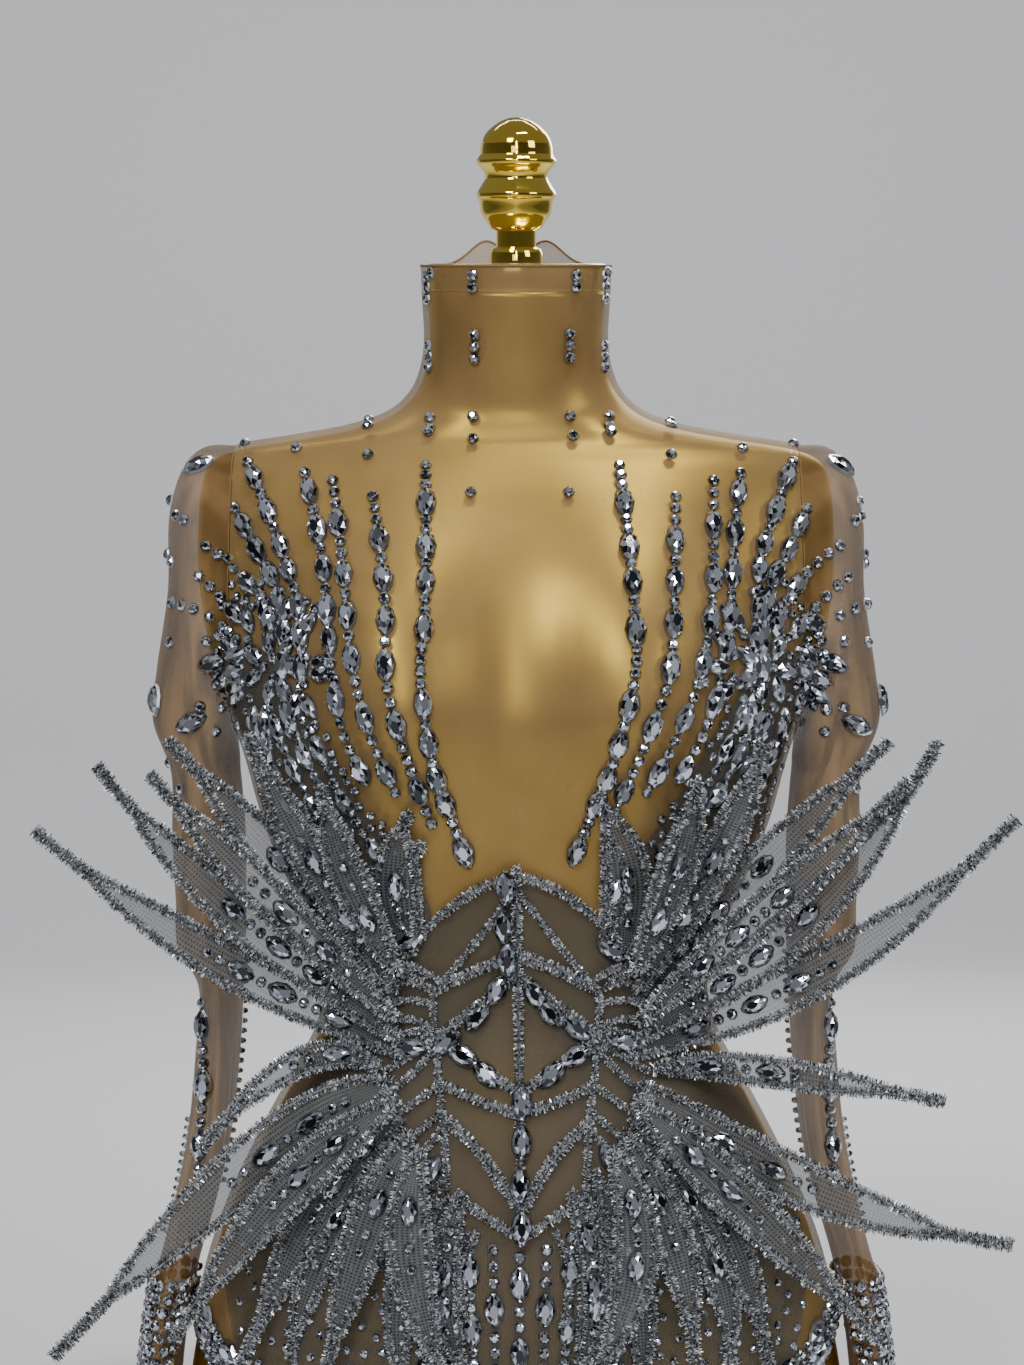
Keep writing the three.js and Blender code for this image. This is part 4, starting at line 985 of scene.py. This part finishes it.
# Thinner tinsel round the ornament and on the waist, in the same way
thinRadius = 1.9
thinLines = [
    [(2, 383), (26, 352), (45, 329)],
    [(3, 346), (22, 339), (46, 327)],
    [(47, 328), (47, 316), (46, 303)],
    [(38, 253), (23, 241), (8, 218)],
    [(53, 333), (68, 343), (84, 349)],
    [(48, 328), (68, 338), (88, 343)],
    [(45, 230), (47, 200), (40, 168)],
    [(22, 196), (30, 172), (26, 142)],
    [(46, 303), (56, 299), (70, 290)],
    [(46, 304), (56, 305), (74, 300)],
    [(46, 306), (58, 311), (76, 310)],
    [(46, 320), (58, 322), (76, 320)],
    [(46, 328), (60, 332), (76, 330)],
    [(44, 334), (58, 341), (74, 344)],
    [(43, 371), (52, 361), (62, 350)],
    [(45, 301), (58, 292), (76, 281)],
    [(44, 298), (56, 284), (72, 270)],
    [(43, 276), (54, 268), (68, 258)],
    [(41, 262), (50, 254), (62, 244)],
    [(40, 257), (46, 246), (56, 236)],
    [(45, 303), (44, 276), (41, 257), (39, 218)],
    [(38, 216), (48, 200), (52, 170)],
]
thinCords = [routeOnFront([(side * x, z) for x, z in places], thinRadius)
             for places in thinLines for side in (-1, 1)]
keep("thin_tinsel", tinselMesh("thin_tinsel", thinCords, thinRadius), tinselFinishes)
print("centre ornament is sewn on")

# Cut stones. Each cut is shaped once in unit sizes and then set at every place.
stoneSettings = {
    "navette": {"long": 19.4, "wide": 11.2, "high": 4.4, "sides": 10, "space": 16.8, "pointed": True},
    "round": {"long": 6.7, "wide": 6.7, "high": 2.7, "sides": 8, "space": 7.1, "pointed": False},
    "bead": {"long": 3.8, "wide": 3.8, "high": 2.6, "sides": 6, "space": 5.2, "pointed": False},
    "rings": [(-0.1, 1.1), (0.25, 1.0), (0.72, 0.76), (1.0, 0.42)],  # height and size, from the cloth up
    "claws": {"x": 0.5, "y": 0.74, "z": 0.3, "foot": 0.13, "tip": 0.03, "tall": 0.7},
    "off": 0.7,
}
kindOf = {"n": "navette", "r": "round", "b": "bead"}


def stoneCut(kind):
    settings = stoneSettings[kind]
    bm = bmesh.new()
    rings, claws = stoneSettings["rings"], stoneSettings["claws"]
    bmesh.ops.create_circle(bm, cap_ends=True, segments=settings["sides"], radius=rings[0][1])
    bm.faces.ensure_lookup_table()
    top = bm.faces[0]
    if top.normal.z < 0:
        top.normal_flip()
    for number, ((lowUp, lowSize), (up, size)) in enumerate(zip(rings, rings[1:])):
        raised = bmesh.ops.extrude_face_region(bm, geom=[top])
        top = next(item for item in raised["geom"] if isinstance(item, bmesh.types.BMFace))
        bmesh.ops.translate(bm, verts=top.verts, vec=(0, 0, up - lowUp))
        bmesh.ops.scale(bm, verts=top.verts, vec=(size / lowSize, size / lowSize, 1))
        twist = math.pi / settings["sides"] if number else 0
        bmesh.ops.rotate(bm, verts=top.verts, cent=(0, 0, 0), matrix=Matrix.Rotation(twist, 3, "Z"))
    bm.normal_update()
    hidden = [face for face in bm.faces if face.normal.z < -0.9]
    bmesh.ops.delete(bm, geom=hidden, context="FACES")
    for face in bm.faces:
        face.material_index = 0 if face.calc_center_median().z > 0.26 else 1
    facets = [face for face in bm.faces if face.material_index == 0 and len(face.verts) == 4]
    bmesh.ops.triangulate(bm, faces=facets)
    for vertex in bm.verts:
        turn = math.atan2(vertex.co.y, vertex.co.x)
        size = math.hypot(vertex.co.x, vertex.co.y)
        rise = abs(math.sin(turn)) ** 0.4 * math.sin(turn) if settings["pointed"] else math.sin(turn)
        vertex.co.x, vertex.co.y = size * math.cos(turn), size * rise
    if settings["pointed"]:
        for x in (-claws["x"], claws["x"]):
            for y in (-claws["y"], claws["y"]):
                claw = bmesh.ops.create_cone(bm, cap_ends=False, segments=3, radius1=claws["foot"],
                                             radius2=claws["tip"], depth=claws["tall"])
                bmesh.ops.translate(bm, verts=claw["verts"], vec=(x, y, claws["z"]))
                for face in {face for vertex in claw["verts"] for face in vertex.link_faces}:
                    face.material_index = 1
    bm.verts.index_update()
    corners = np.array([vertex.co for vertex in bm.verts]) * np.array([
        settings["long"] / 2, settings["wide"] / 2, settings["high"]])
    loops = np.array([vertex.index for face in bm.faces for vertex in face.verts])
    totals = np.array([len(face.verts) for face in bm.faces])
    finishes = np.array([face.material_index for face in bm.faces])
    bm.free()
    return corners, loops, totals, finishes


stoneCuts = {kind: stoneCut(kind) for kind in ("navette", "round", "bead")}


# Stones of one piece: every row of places is centre, normal, the way the stone points, and its size
def setStones(name, rows):
    points, loops, totals, finishes, first = [], [], [], [], 0
    for kind, (corners, faceLoops, faceTotals, faceFinishes) in stoneCuts.items():
        places = np.array([row[1:] for row in rows if row[0] == kind], float)
        if not len(places):
            continue
        centre, normal, along, size = places[:, 0:3], places[:, 3:6], places[:, 6:9], places[:, 9]
        normal = normal / np.linalg.norm(normal, axis=1, keepdims=True)
        along = along - normal * (along * normal).sum(1, keepdims=True)
        along /= np.linalg.norm(along, axis=1, keepdims=True)
        across = np.cross(normal, along)
        count = len(places)
        sized = corners[None] * size[:, None, None]
        placed = centre[:, None] + normal[:, None] * (sized[..., 2:] + stoneSettings["off"])
        placed = placed + along[:, None] * sized[..., :1] + across[:, None] * sized[..., 1:2]
        points.append(placed.reshape(-1, 3))
        loops.append((first + np.arange(count)[:, None] * len(corners) + faceLoops).ravel())
        totals.append(np.tile(faceTotals, count))
        finishes.append(np.tile(faceFinishes, count))
        first += count * len(corners)
    totals = np.concatenate(totals)
    starts = np.concatenate([[0], np.cumsum(totals)[:-1]])
    mesh = joinedMesh(name, np.concatenate(points), np.concatenate(loops), starts, np.concatenate(finishes))
    return keep(name, mesh, [crystalFinish, claspFinish])


# The cloth's surface seen from the front, for laying stones at places (x, z)
clothCorners, clothFaces, firstCorner = [], [], 0
for points in (panelPoints["front_panel"], sleevePoints["left"], sleevePoints["right"]):
    rows, columns = points.shape[:2]
    index = firstCorner + np.arange(rows * columns).reshape(rows, columns)
    clothCorners += [Vector(p) for p in points.reshape(-1, 3)]
    corners = [index[:-1, :-1], index[:-1, 1:], index[1:, 1:], index[1:, :-1]]
    clothFaces += np.stack(corners, -1).reshape(-1, 4).tolist()
    firstCorner += rows * columns
clothTree = BVHTree.FromPolygons(clothCorners, clothFaces)


def onCloth(x, z):
    place, normal = clothTree.ray_cast(Vector((x, -400, z)), Vector((0, 1, 0)))[:2]
    if place is None:
        place, normal = clothTree.find_nearest(Vector((x, -30, z)))[:2]
    if normal.y > 0:
        normal = -normal
    return np.array(place), np.array(normal)


# Stones spaced evenly along a route of points with normals: a letter of the pattern for each
def stonesAlong(points, normals, pattern, size=1.0):
    reached = reachAlong(points)
    spaces = np.array([stoneSettings[kindOf[letter]]["space"] for letter in pattern])
    at = (np.cumsum(spaces) - spaces / 2) * reached[-1] / spaces.sum()
    laid = [valuesAt(at, reached, table) for table in (points, normals, np.gradient(points, axis=0))]
    return [(kindOf[letter], *place, *normal, *along, size * draw.uniform(0.95, 1.06))
            for letter, place, normal, along in zip(pattern, *laid)]


def lineOnCloth(places, pattern, size=1.0):
    fine = throughRows(np.array(places, float), np.linspace(0, len(places) - 1, 60))
    laid = [onCloth(x, z) for x, z in fine]
    return stonesAlong(np.array([p for p, n in laid]), np.array([n for p, n in laid]), pattern, size)


def singleStone(letter, x, z, turn=0, size=1.0):
    place, normal = onCloth(x, z)
    turn = math.radians(turn)
    return (kindOf[letter], *place, *normal, math.cos(turn), 0, math.sin(turn), size)


# The right side's lines stand a little further out at bust height than the left's
def mirrored(x, z):
    return -x + 4 + 11 * math.exp(-(((z - 545) / 75) ** 2)) * (1 if x > -130 else 0.4)


# Lines of the chest and shoulder: places (x, z) on the left side, and a letter for each stone
chestLines = [
    ([(-52, 630), (-51, 584), (-51, 540), (-53, 505), (-46, 455), (-36, 425), (-27, 400)],
     "rrrnrrnrnrrnrrrrnrnrnnrrn"),
    ([(-82.5, 612), (-77, 580), (-73, 545), (-72, 508), (-66, 478), (-54, 440), (-46, 420)],
     "rrrnrnrnrnrrnrrrnrr"),
    ([(-106, 622), (-100, 585), (-95, 548), (-90, 509), (-80, 472), (-66, 438)], "rrrnrrnrnrnrrnrrnr"),
    ([(-123, 627), (-116, 600), (-109, 568), (-105, 535), (-101, 500), (-95, 473), (-83, 446)],
     "rnrnrnrnnrrnrrrn"),
    ([(-158, 634), (-147, 610), (-132, 573), (-123, 545), (-121, 510), (-126, 480)], "rnrnrnnrnnnrn"),
    ([(-165, 607), (-150, 580), (-137, 557), (-131, 530), (-133, 503)], "rnnnnnn"),
    ([(-184, 584), (-168, 573), (-152, 557), (-141, 541), (-142, 528)], "rrrrnrn"),
    ([(-187, 567), (-172, 553), (-156, 537)], "rrrrn"),
    ([(-203, 550), (-184, 544), (-162, 530)], "rrrrrrr"),
    ([(-150, 486), (-140, 455), (-125, 425), (-110, 398)], "nnnnnn"),
    ([(-141, 492), (-130, 462), (-114, 430), (-98, 402)], "rnrnrnrn"),
    ([(-131, 492), (-119, 462), (-104, 432), (-88, 405)], "nrnrnrnr"),
    ([(-116, 480), (-106, 455), (-92, 428), (-74, 400)], "rnrrnrrn"),
    ([(-152, 522), (-170, 516), (-189, 510)], "nrn"),
    ([(-153, 514), (-170, 505), (-182, 499)], "nn"),
    ([(-154, 506), (-172, 494), (-190, 486)], "nnr"),
    ([(-155, 498), (-176, 486), (-203, 473)], "rnrn"),
    ([(-156, 528), (-172, 527), (-186, 526)], "rrrr"),
]
# Single stones: letter, x, z and the way a pointed one lies, in degrees
singleStones = [
    ("n", -187, 630, 20), ("r", -160, 643, 0), ("r", -128, 639, 0), ("r", -86.8, 652, 0),
    ("r", -85.6, 634, 0), ("r", -51, 648, 0), ("r", -208, 578, 0), ("r", -201, 573, 0),
    ("r", -198, 600, 0), ("r", -193, 597, 0), ("r", -205, 611, 0), ("r", -202, 526, 0),
    ("n", -211, 492, -55), ("r", -176, 474, 0), ("r", -205, 455, 0), ("r", -196, 440, 0),
    ("r", -26, 611, 0), ("r", -90, 668, 0),
]
chestStones = []
for places, pattern in chestLines:
    chestStones += lineOnCloth(places, pattern)
    chestStones += lineOnCloth([(mirrored(x, z), z) for x, z in places], pattern)
for letter, x, z, turn in singleStones:
    chestStones.append(singleStone(letter, x, z, turn))
    chestStones.append(singleStone(letter, -x + 4, z, 180 - turn))

# The thick cluster at each armpit: rings of stones that point away from its middle
clusterSettings = {"x": 138, "z": 511, "tall": 1.15,
                   "rings": [(5, 4, "r"), (13, 7, "n"), (21, 12, "r"), (29, 13, "n"), (38, 20, "r")]}
for side in (-1, 1):
    for radius, count, letter in clusterSettings["rings"]:
        for number in range(count):
            turn = 2 * math.pi * (number + 0.5 * (radius > 15)) / count + draw.normal(0, 0.06)
            x = side * (clusterSettings["x"] + (4 if side > 0 else 0)) + radius * math.cos(turn)
            z = clusterSettings["z"] + radius * clusterSettings["tall"] * math.sin(turn)
            chestStones.append(singleStone(letter, x, z, math.degrees(turn), draw.uniform(0.85, 1.0)))
# Small rounds scattered between the lines, clear of every stone set before: a zone is rows of z and two x
scatterSettings = {"tries": 2600, "size": 0.8, "clear": 5.7, "beside": 7.0, "end": 5.5, "clearBelly": 8.5}
chestZone = np.array([(388, -132, -58), (410, -140, -66), (440, -149, -88), (470, -155, -104),
                      (500, -159, -114), (535, -158, -122), (560, -166, -140)], float)
bellyZone = np.array([(66, -80, -62), (84, -128, -58), (105, -150, -50), (130, -160, -48),
                      (160, -166, -46), (190, -160, -46), (225, -146, -70)], float)


def scatterRounds(side, zone, taken, clear):
    found = []
    for x, z in draw.uniform((zone[:, 1].min(), zone[0, 0]), (zone[:, 2].max(), zone[-1, 0]),
                             (scatterSettings["tries"], 2)):
        low, high = (np.interp(z, zone[:, 0], zone[:, k]) for k in (1, 2))
        if not low < x < high:
            continue
        x = x if side < 0 else -x + 4
        if (np.hypot(taken[:, 0] - x, taken[:, 1] - z) > taken[:, 2]).all():
            taken = np.vstack([taken, (x, z, clear)])
            found.append(singleStone("r", x, z, 0, scatterSettings["size"]))
    return found


takenPlaces = []
for kind, x, y, z, *rest in chestStones:
    if kind == "round":
        takenPlaces.append((x, z, scatterSettings["clear"]))
        continue
    takenPlaces.append((x, z, scatterSettings["beside"]))
    along = np.array([rest[3], rest[5]]) / max(math.hypot(rest[3], rest[5]), 1e-6)
    for end in (-scatterSettings["end"], scatterSettings["end"]):
        takenPlaces.append((x + end * along[0], z + end * along[1], scatterSettings["clear"]))
for side in (-1, 1):
    chestStones += scatterRounds(side, chestZone, np.array(takenPlaces), scatterSettings["clear"])
setStones("chest_stones", chestStones)

# Neck: groups of rounds under each other, as x, z of the highest and how many
neckStep = 6.6
neckGroups = [(-24.8, 742.5, 3), (-51.2, 740.5, 3), (-23.8, 703, 3), (-50.6, 700.5, 3), (-25, 656.9, 1),
              (-25, 643.3, 1), (-50.1, 656.4, 2), (34.0, 743.6, 3), (51.2, 740.5, 3), (30.6, 704.2, 3),
              (51.0, 700.6, 3), (31.2, 657, 1), (32.9, 645.2, 1), (54.0, 657.3, 2)]
neckStones = [singleStone("r", x, z - neckStep * row) for x, z, count in neckGroups for row in range(count)]
setStones("neck_stones", neckStones)
print("chest stones are set:", len(chestStones))


# Normals of a laid grid, pointing away from a line up through (x, y)
def gridNormals(points, x=0.0, y=0.0):
    normals = np.cross(np.gradient(points, axis=0), np.gradient(points, axis=1))
    out = points - np.array([x, y, 0])
    out[..., 2] = 0
    turned = np.sign((normals * out).sum(-1, keepdims=True))
    normals *= np.where(turned == 0, 1, turned)
    return normals / np.maximum(np.linalg.norm(normals, axis=-1, keepdims=True), 1e-9)


# Sleeves: a line down the forearm, beads along both edges, and cuffs covered all round. Each edge is a
# column of the sleeve's grid, the heights that its beads lie between, and how many there are.
forearm = {"places": [(-184, 318), (-184, 262), (-187, 205)], "pattern": "rnrrnrrnrr"}
sleeveEdges = [(36, 200, 345, 24), (0, 170, 246, 14)]
cuffSettings = {"rows": 11, "low": 75, "high": 149, "around": 21, "turnBy": 3}
for sideName, side in (("left", -1), ("right", 1)):
    points = sleevePoints[sideName]
    normals = gridNormals(points, side * 190, 0)
    heights = points[:, :, 2].mean(1)
    stones = lineOnCloth([(-side * x, z) for x, z in forearm["places"]], forearm["pattern"])
    for column, low, high, count in sleeveEdges:
        chosen = (heights > low) & (heights < high)
        stones += stonesAlong(points[chosen, column], normals[chosen, column], "b" * count)
    cuffHeights = np.linspace(cuffSettings["low"], cuffSettings["high"], cuffSettings["rows"])
    for number, z in enumerate(cuffHeights):
        row, part = divmod(np.interp(-z, -heights, np.arange(len(heights))), 1)
        row, nextRow = int(row), min(int(row) + 1, len(heights) - 1)
        between = (table[row] * (1 - part) + table[nextRow] * part for table in (points, normals))
        turned = (np.roll(table[:-1], number * cuffSettings["turnBy"], axis=0) for table in between)
        around, outward = (np.vstack([table, table[:1]]) for table in turned)
        stones += stonesAlong(around, outward, "r" * cuffSettings["around"])
    setStones("sleeve_" + sideName + "_stones", stones)

# Belly: upright lines of stones that draw together downwards, as x, highest and lowest z, and pattern
bellyLines = [(-27, 196, 70, "rrnrrnrrnrrn"), (-13, 190, 60, "rrrnrrrnrrrr"), (2, 186, 56, "rnrrnrrnrrr"),
              (17, 190, 60, "rrrnrrrnrrrr"), (31, 196, 70, "rrnrrnrrnrrn"), (-43, 180, 84, "rrnrrrnrr"),
              (47, 180, 84, "rrnrrrnrr"), (-60, 165, 92, "rnrrnrr"), (64, 165, 92, "rnrrnrr")]
bellyDraw = {"middle": 0.9, "low": 0.7}
# Leg openings: rows of the panels' grids, counted up from the edge, with each one's pattern
legEdgeRows = {"front_panel": [(-2, "r"), (-6, "rrn"), (-10, "r"), (-14, "rrn")],
               "back_panel_left": [(-2, "r")], "back_panel_right": [(-2, "r")]}
lowerStones = []
for x, high, low, pattern in bellyLines:
    places = [(x, high), (x * bellyDraw["middle"], (high + low) / 2), (x * bellyDraw["low"], low)]
    lowerStones += lineOnCloth(places, pattern)
for side in (-1, 1):
    lowerStones += scatterRounds(side, bellyZone, np.array([(0, 0, 1)]), scatterSettings["clearBelly"])
for name, edgeRows in legEdgeRows.items():
    points, normals = panelPoints[name], gridNormals(panelPoints[name])
    wide = reachAlong(points[-1])[-1]
    for row, pattern in edgeRows:
        space = sum(stoneSettings[kindOf[letter]]["space"] for letter in pattern)
        lowerStones += stonesAlong(points[row], normals[row], pattern * int(wide / space))
setStones("lower_stones", lowerStones)

# Ornament: navettes on the spine, round its diamond and at the arms' ends, as x, z and turn
ornamentStones = [
    (-6, 387, 90), (-7, 365, 90), (-5, 346, 90), (3, 266, 90), (3, 245, 90), (2, 221, 90), (3, 198, 90),
    (-11, 329, 60), (-22, 314, 50), (-39, 299, 35), (10, 327, -60), (19, 316, -50), (34, 307, -35),
    (-30, 292, -30), (-17, 282, -45), (34, 292, 30), (20, 282, 45), (-60, 355, 30), (54, 351, -30),
    (-60, 295, 0), (62, 298, 0), (-48, 228, 60), (53, 235, -60),
]
ornamentLift = {"spineHalf": 8, "onSpine": 4.4, "beside": 2.4}
onOrnament = []
for x, z, turn in ornamentStones:
    kind, stoneX, stoneY, *rest = singleStone("n", x, z, turn)
    lift = ornamentLift["onSpine"] if abs(x) < ornamentLift["spineHalf"] else ornamentLift["beside"]
    onOrnament.append((kind, stoneX, stoneY - lift, *rest))
setStones("ornament_stones", onOrnament)

# Fins and petals: stones along the middle of each web, as many as there is room for
finStones = []
webStones = {"from": 0.15, "to": 0.56, "order": "nrrnr", "room": 1.1, "size": 0.9}


def stonesOnWeb(grid, turnBy):
    route = grid[:, 1]
    normals = np.cross(np.gradient(route, axis=0), grid[:, 2] - grid[:, 0])
    normals *= -np.sign(normals[:, 1:2])
    normals /= np.linalg.norm(normals, axis=1, keepdims=True)
    room = reachAlong(route)[-1] / webStones["room"]
    pattern = ""
    while room > 0:
        letter = webStones["order"][(len(pattern) + turnBy) % len(webStones["order"])]
        room -= stoneSettings[kindOf[letter]]["space"]
        pattern += letter
    return stonesAlong(route, normals, pattern[:-1], webStones["size"]) if len(pattern) > 1 else []


webShares = np.linspace(webStones["from"], webStones["to"], 30)
webOffsets = (-0.4, 0, 0.4)
for fanName, rows in finTable.items():
    for number, row in enumerate(rows):
        layer = number % fanSettings["layers"]
        finStones += stonesOnWeb(finGrid(row, layer, webShares, webOffsets), number)
for number, row in enumerate(innerPetals):
    finStones += stonesOnWeb(petalGrid(row, webShares, webOffsets, petalSettings["webOff"]), number)
setStones("fin_stones", finStones)
print("stones are set:", len(chestStones) + len(neckStones) + len(lowerStones) + len(finStones))

# Hems and seams: a soft rolled edge at the collar, the leg openings, the cuffs and round each armhole
hemSettings = {"collar": 0.7, "leg": 0.8, "cuff": 0.9, "armhole": 0.35}
hemRoutes = [
    ("collar_hem_front", panelPoints["front_panel"][0], "collar"),
    ("collar_hem_left", panelPoints["back_panel_left"][0], "collar"),
    ("collar_hem_right", panelPoints["back_panel_right"][0], "collar"),
    ("leg_hem_front", panelPoints["front_panel"][-1], "leg"),
    ("leg_hem_left", panelPoints["back_panel_left"][-1], "leg"),
    ("leg_hem_right", panelPoints["back_panel_right"][-1], "leg"),
]
for sideName in ("left", "right"):
    hemRoutes.append(("cuff_hem_" + sideName, sleevePoints[sideName][-1], "cuff"))
    hemRoutes.append(("armhole_seam_" + sideName, sleevePoints[sideName][0], "armhole"))
for name, route, kind in hemRoutes:
    keep(name, meshFrom(tubeThrough(route, hemSettings[kind], 8), name), hemFinish)
print("hems are sewn")

# Zip: tape and coil teeth in the gap between the back pieces
zipSettings = {"width": 6, "top": 0.3, "foot": 24.95, "off": 0.6, "rows": 250,
               "pitch": 1.5, "coilHalf": 1.5, "coilLift": 0.4, "coilOff": 0.5, "wire": 0.28}


def zipTapeGrid(off):
    rows = np.linspace(zipSettings["top"], zipSettings["foot"], zipSettings["rows"])
    section = sectionAt(rows)
    columns = []
    for share in np.linspace(-1, 1, 5):
        x = share * zipSettings["width"] / 2 / section[:, 1]
        turn = np.sign(x) * (math.pi / 2 - np.arccos(np.abs(x) ** (section[:, 6] / 2)))
        columns.append(offForm(backTurn + turn, rows, np.full(rows.shape, off)))
    return np.stack(columns, 1)


zipPoints = zipTapeGrid(clothSettings["gap"] + zipSettings["off"])
keepSheet("zip_tape_strip", zipPoints, zipTape, insideForm, ["zip_coil"])
toothLine = zipPoints[:, 2] + np.array([0, zipSettings["coilOff"], 0])
toothReach = reachAlong(toothLine)
toothTurns = np.arange(0, toothReach[-1], zipSettings["pitch"] / 8)
coil = valuesAt(toothTurns, toothReach, toothLine)
swing = toothTurns / zipSettings["pitch"] * 2 * math.pi
coil[:, 0] += zipSettings["coilHalf"] * np.cos(swing)
coil[:, 1] += zipSettings["coilOff"] + zipSettings["coilLift"] * np.sin(swing)
coilMesh = meshFrom(tubeThrough(coil, zipSettings["wire"], 4), "zip_coil_teeth")
keep("zip_coil_teeth", coilMesh, zipTape)
for node in ("zip_slider", "zip_pull"):
    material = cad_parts[node].material_slots
    if material:
        material[0].material = zipMetal
    else:
        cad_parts[node].data.materials.append(zipMetal)
print("zip is closed")

# Stage: one pale bowl, a floor that curves up all round, in metres. Its colour darkens towards the camera
# and the
# sides, which only the gold reflects: painted shade of an unlit room there. fadeFrom and fadeTo are places
# ahead, less aside times those beside.
stageSettings = {"radius": 4.5, "bend": 1.4, "height": 2.6, "under": 0.0004, "colour": (0.72, 0.725, 0.74),
                 "dark": (0.2, 0.2, 0.205), "fadeFrom": -2.4, "fadeTo": -0.8, "aside": -1.4}


def stageBowl():
    radius, bend = stageSettings["radius"], stageSettings["bend"]
    turns = np.linspace(0, math.pi / 2, 17)
    curve = [(radius - bend + bend * math.sin(a), bend - bend * math.cos(a)) for a in turns]
    bm = bmesh.new()
    profile = [(0, 0), *curve, (radius, stageSettings["height"])]
    verts = [bm.verts.new((r, 0, z - stageSettings["under"])) for r, z in profile]
    edges = [bm.edges.new(pair) for pair in zip(verts, verts[1:])]
    bmesh.ops.spin(bm, geom=verts + edges, axis=(0, 0, 1), cent=(0, 0, 0), dvec=(0, 0, 0),
                   angle=2 * math.pi, steps=96, use_merge=True)
    bmesh.ops.remove_doubles(bm, verts=bm.verts, dist=1e-6)
    bmesh.ops.recalc_face_normals(bm, faces=bm.faces)
    return meshFrom(bm, "pale_floor")


floorFinish = newFinish("pale_floor", stageSettings["colour"], 0, 0.85)
placeOnStage = addNode(floorFinish, "ShaderNodeTexCoord")
placeParts = addNode(floorFinish, "ShaderNodeSeparateXYZ", None, {"Vector": placeOnStage.outputs["Object"]})
outward = addNode(floorFinish, "ShaderNodeMath", None, {0: placeParts.outputs["X"]})
outward.operation = "ABSOLUTE"
ahead = addNode(floorFinish, "ShaderNodeMath", {1: stageSettings["aside"]}, {
    0: outward.outputs["Value"], 2: placeParts.outputs["Y"]})
ahead.operation = "MULTIPLY_ADD"
fade = addNode(floorFinish, "ShaderNodeMapRange", {
    "From Min": stageSettings["fadeFrom"], "From Max": stageSettings["fadeTo"]},
    {"Value": ahead.outputs["Value"]})
# Painted shade: the floor's colour darker towards the camera and the sides
tintBetween(floorFinish, fade.outputs["Result"], stageSettings["dark"], stageSettings["colour"], 0.0, 1.0)
bumpFrom(floorFinish, noiseOf(floorFinish, 60).outputs["Fac"], 0.04, 0.001)
floorMesh = stageBowl()
floorMesh.materials.append(floorFinish)
floor = bpy.data.objects.new("pale_floor", floorMesh)
bpy.context.scene.collection.objects.link(floor)

# Lights: place, aim, size and power
lightTable = {
    "key": {"place": (-0.8, -2.2, 2.2), "aim": (0, 0, 0.55), "size": (0.7, 0.7), "power": 35},
    "front": {"place": (-0.2, -2.6, 0.95), "aim": (0, 0, 0.5), "size": (0.9, 0.7), "power": 5},
    "fill": {"place": (1.9, -1.6, 1.6), "aim": (0, 0, 0.5), "size": (0.9, 0.9), "power": 13},
    "top": {"place": (0.5, -0.9, 2.7), "aim": (0, 0, 0.5), "size": (0.9, 0.15), "power": 24},
    "strip": {"place": (0.05, -2.3, 1.35), "aim": (0, 0, 0.6), "size": (0.09, 1.1), "power": 8},
    "wash": {"place": (0, 1.2, 2.9), "aim": (0, 3.6, 0.9), "size": (2.4, 0.8), "power": 60},
    "back": {"place": (0.8, 2.2, 1.9), "aim": (0, 0, 0.4), "size": (1.2, 1.2), "power": 26},
}
for name, light in lightTable.items():
    lamp = bpy.data.lights.new(name + "_light", "AREA")
    lamp.shape = "RECTANGLE"
    lamp.size, lamp.size_y = light["size"]
    lamp.energy = light["power"]
    holder = bpy.data.objects.new(name + "_light", lamp)
    holder.location = light["place"]
    aim = Vector(light["aim"]) - Vector(light["place"])
    holder.rotation_euler = aim.to_track_quat("-Z", "Y").to_euler()
    bpy.context.scene.collection.objects.link(holder)
world = bpy.data.worlds.new("soft_room")
world.use_nodes = True
world.node_tree.nodes["Background"].inputs["Color"].default_value = (0.55, 0.56, 0.58, 1)
world.node_tree.nodes["Background"].inputs["Strength"].default_value = 0.35
bpy.context.scene.world = world
print("stage is lit")
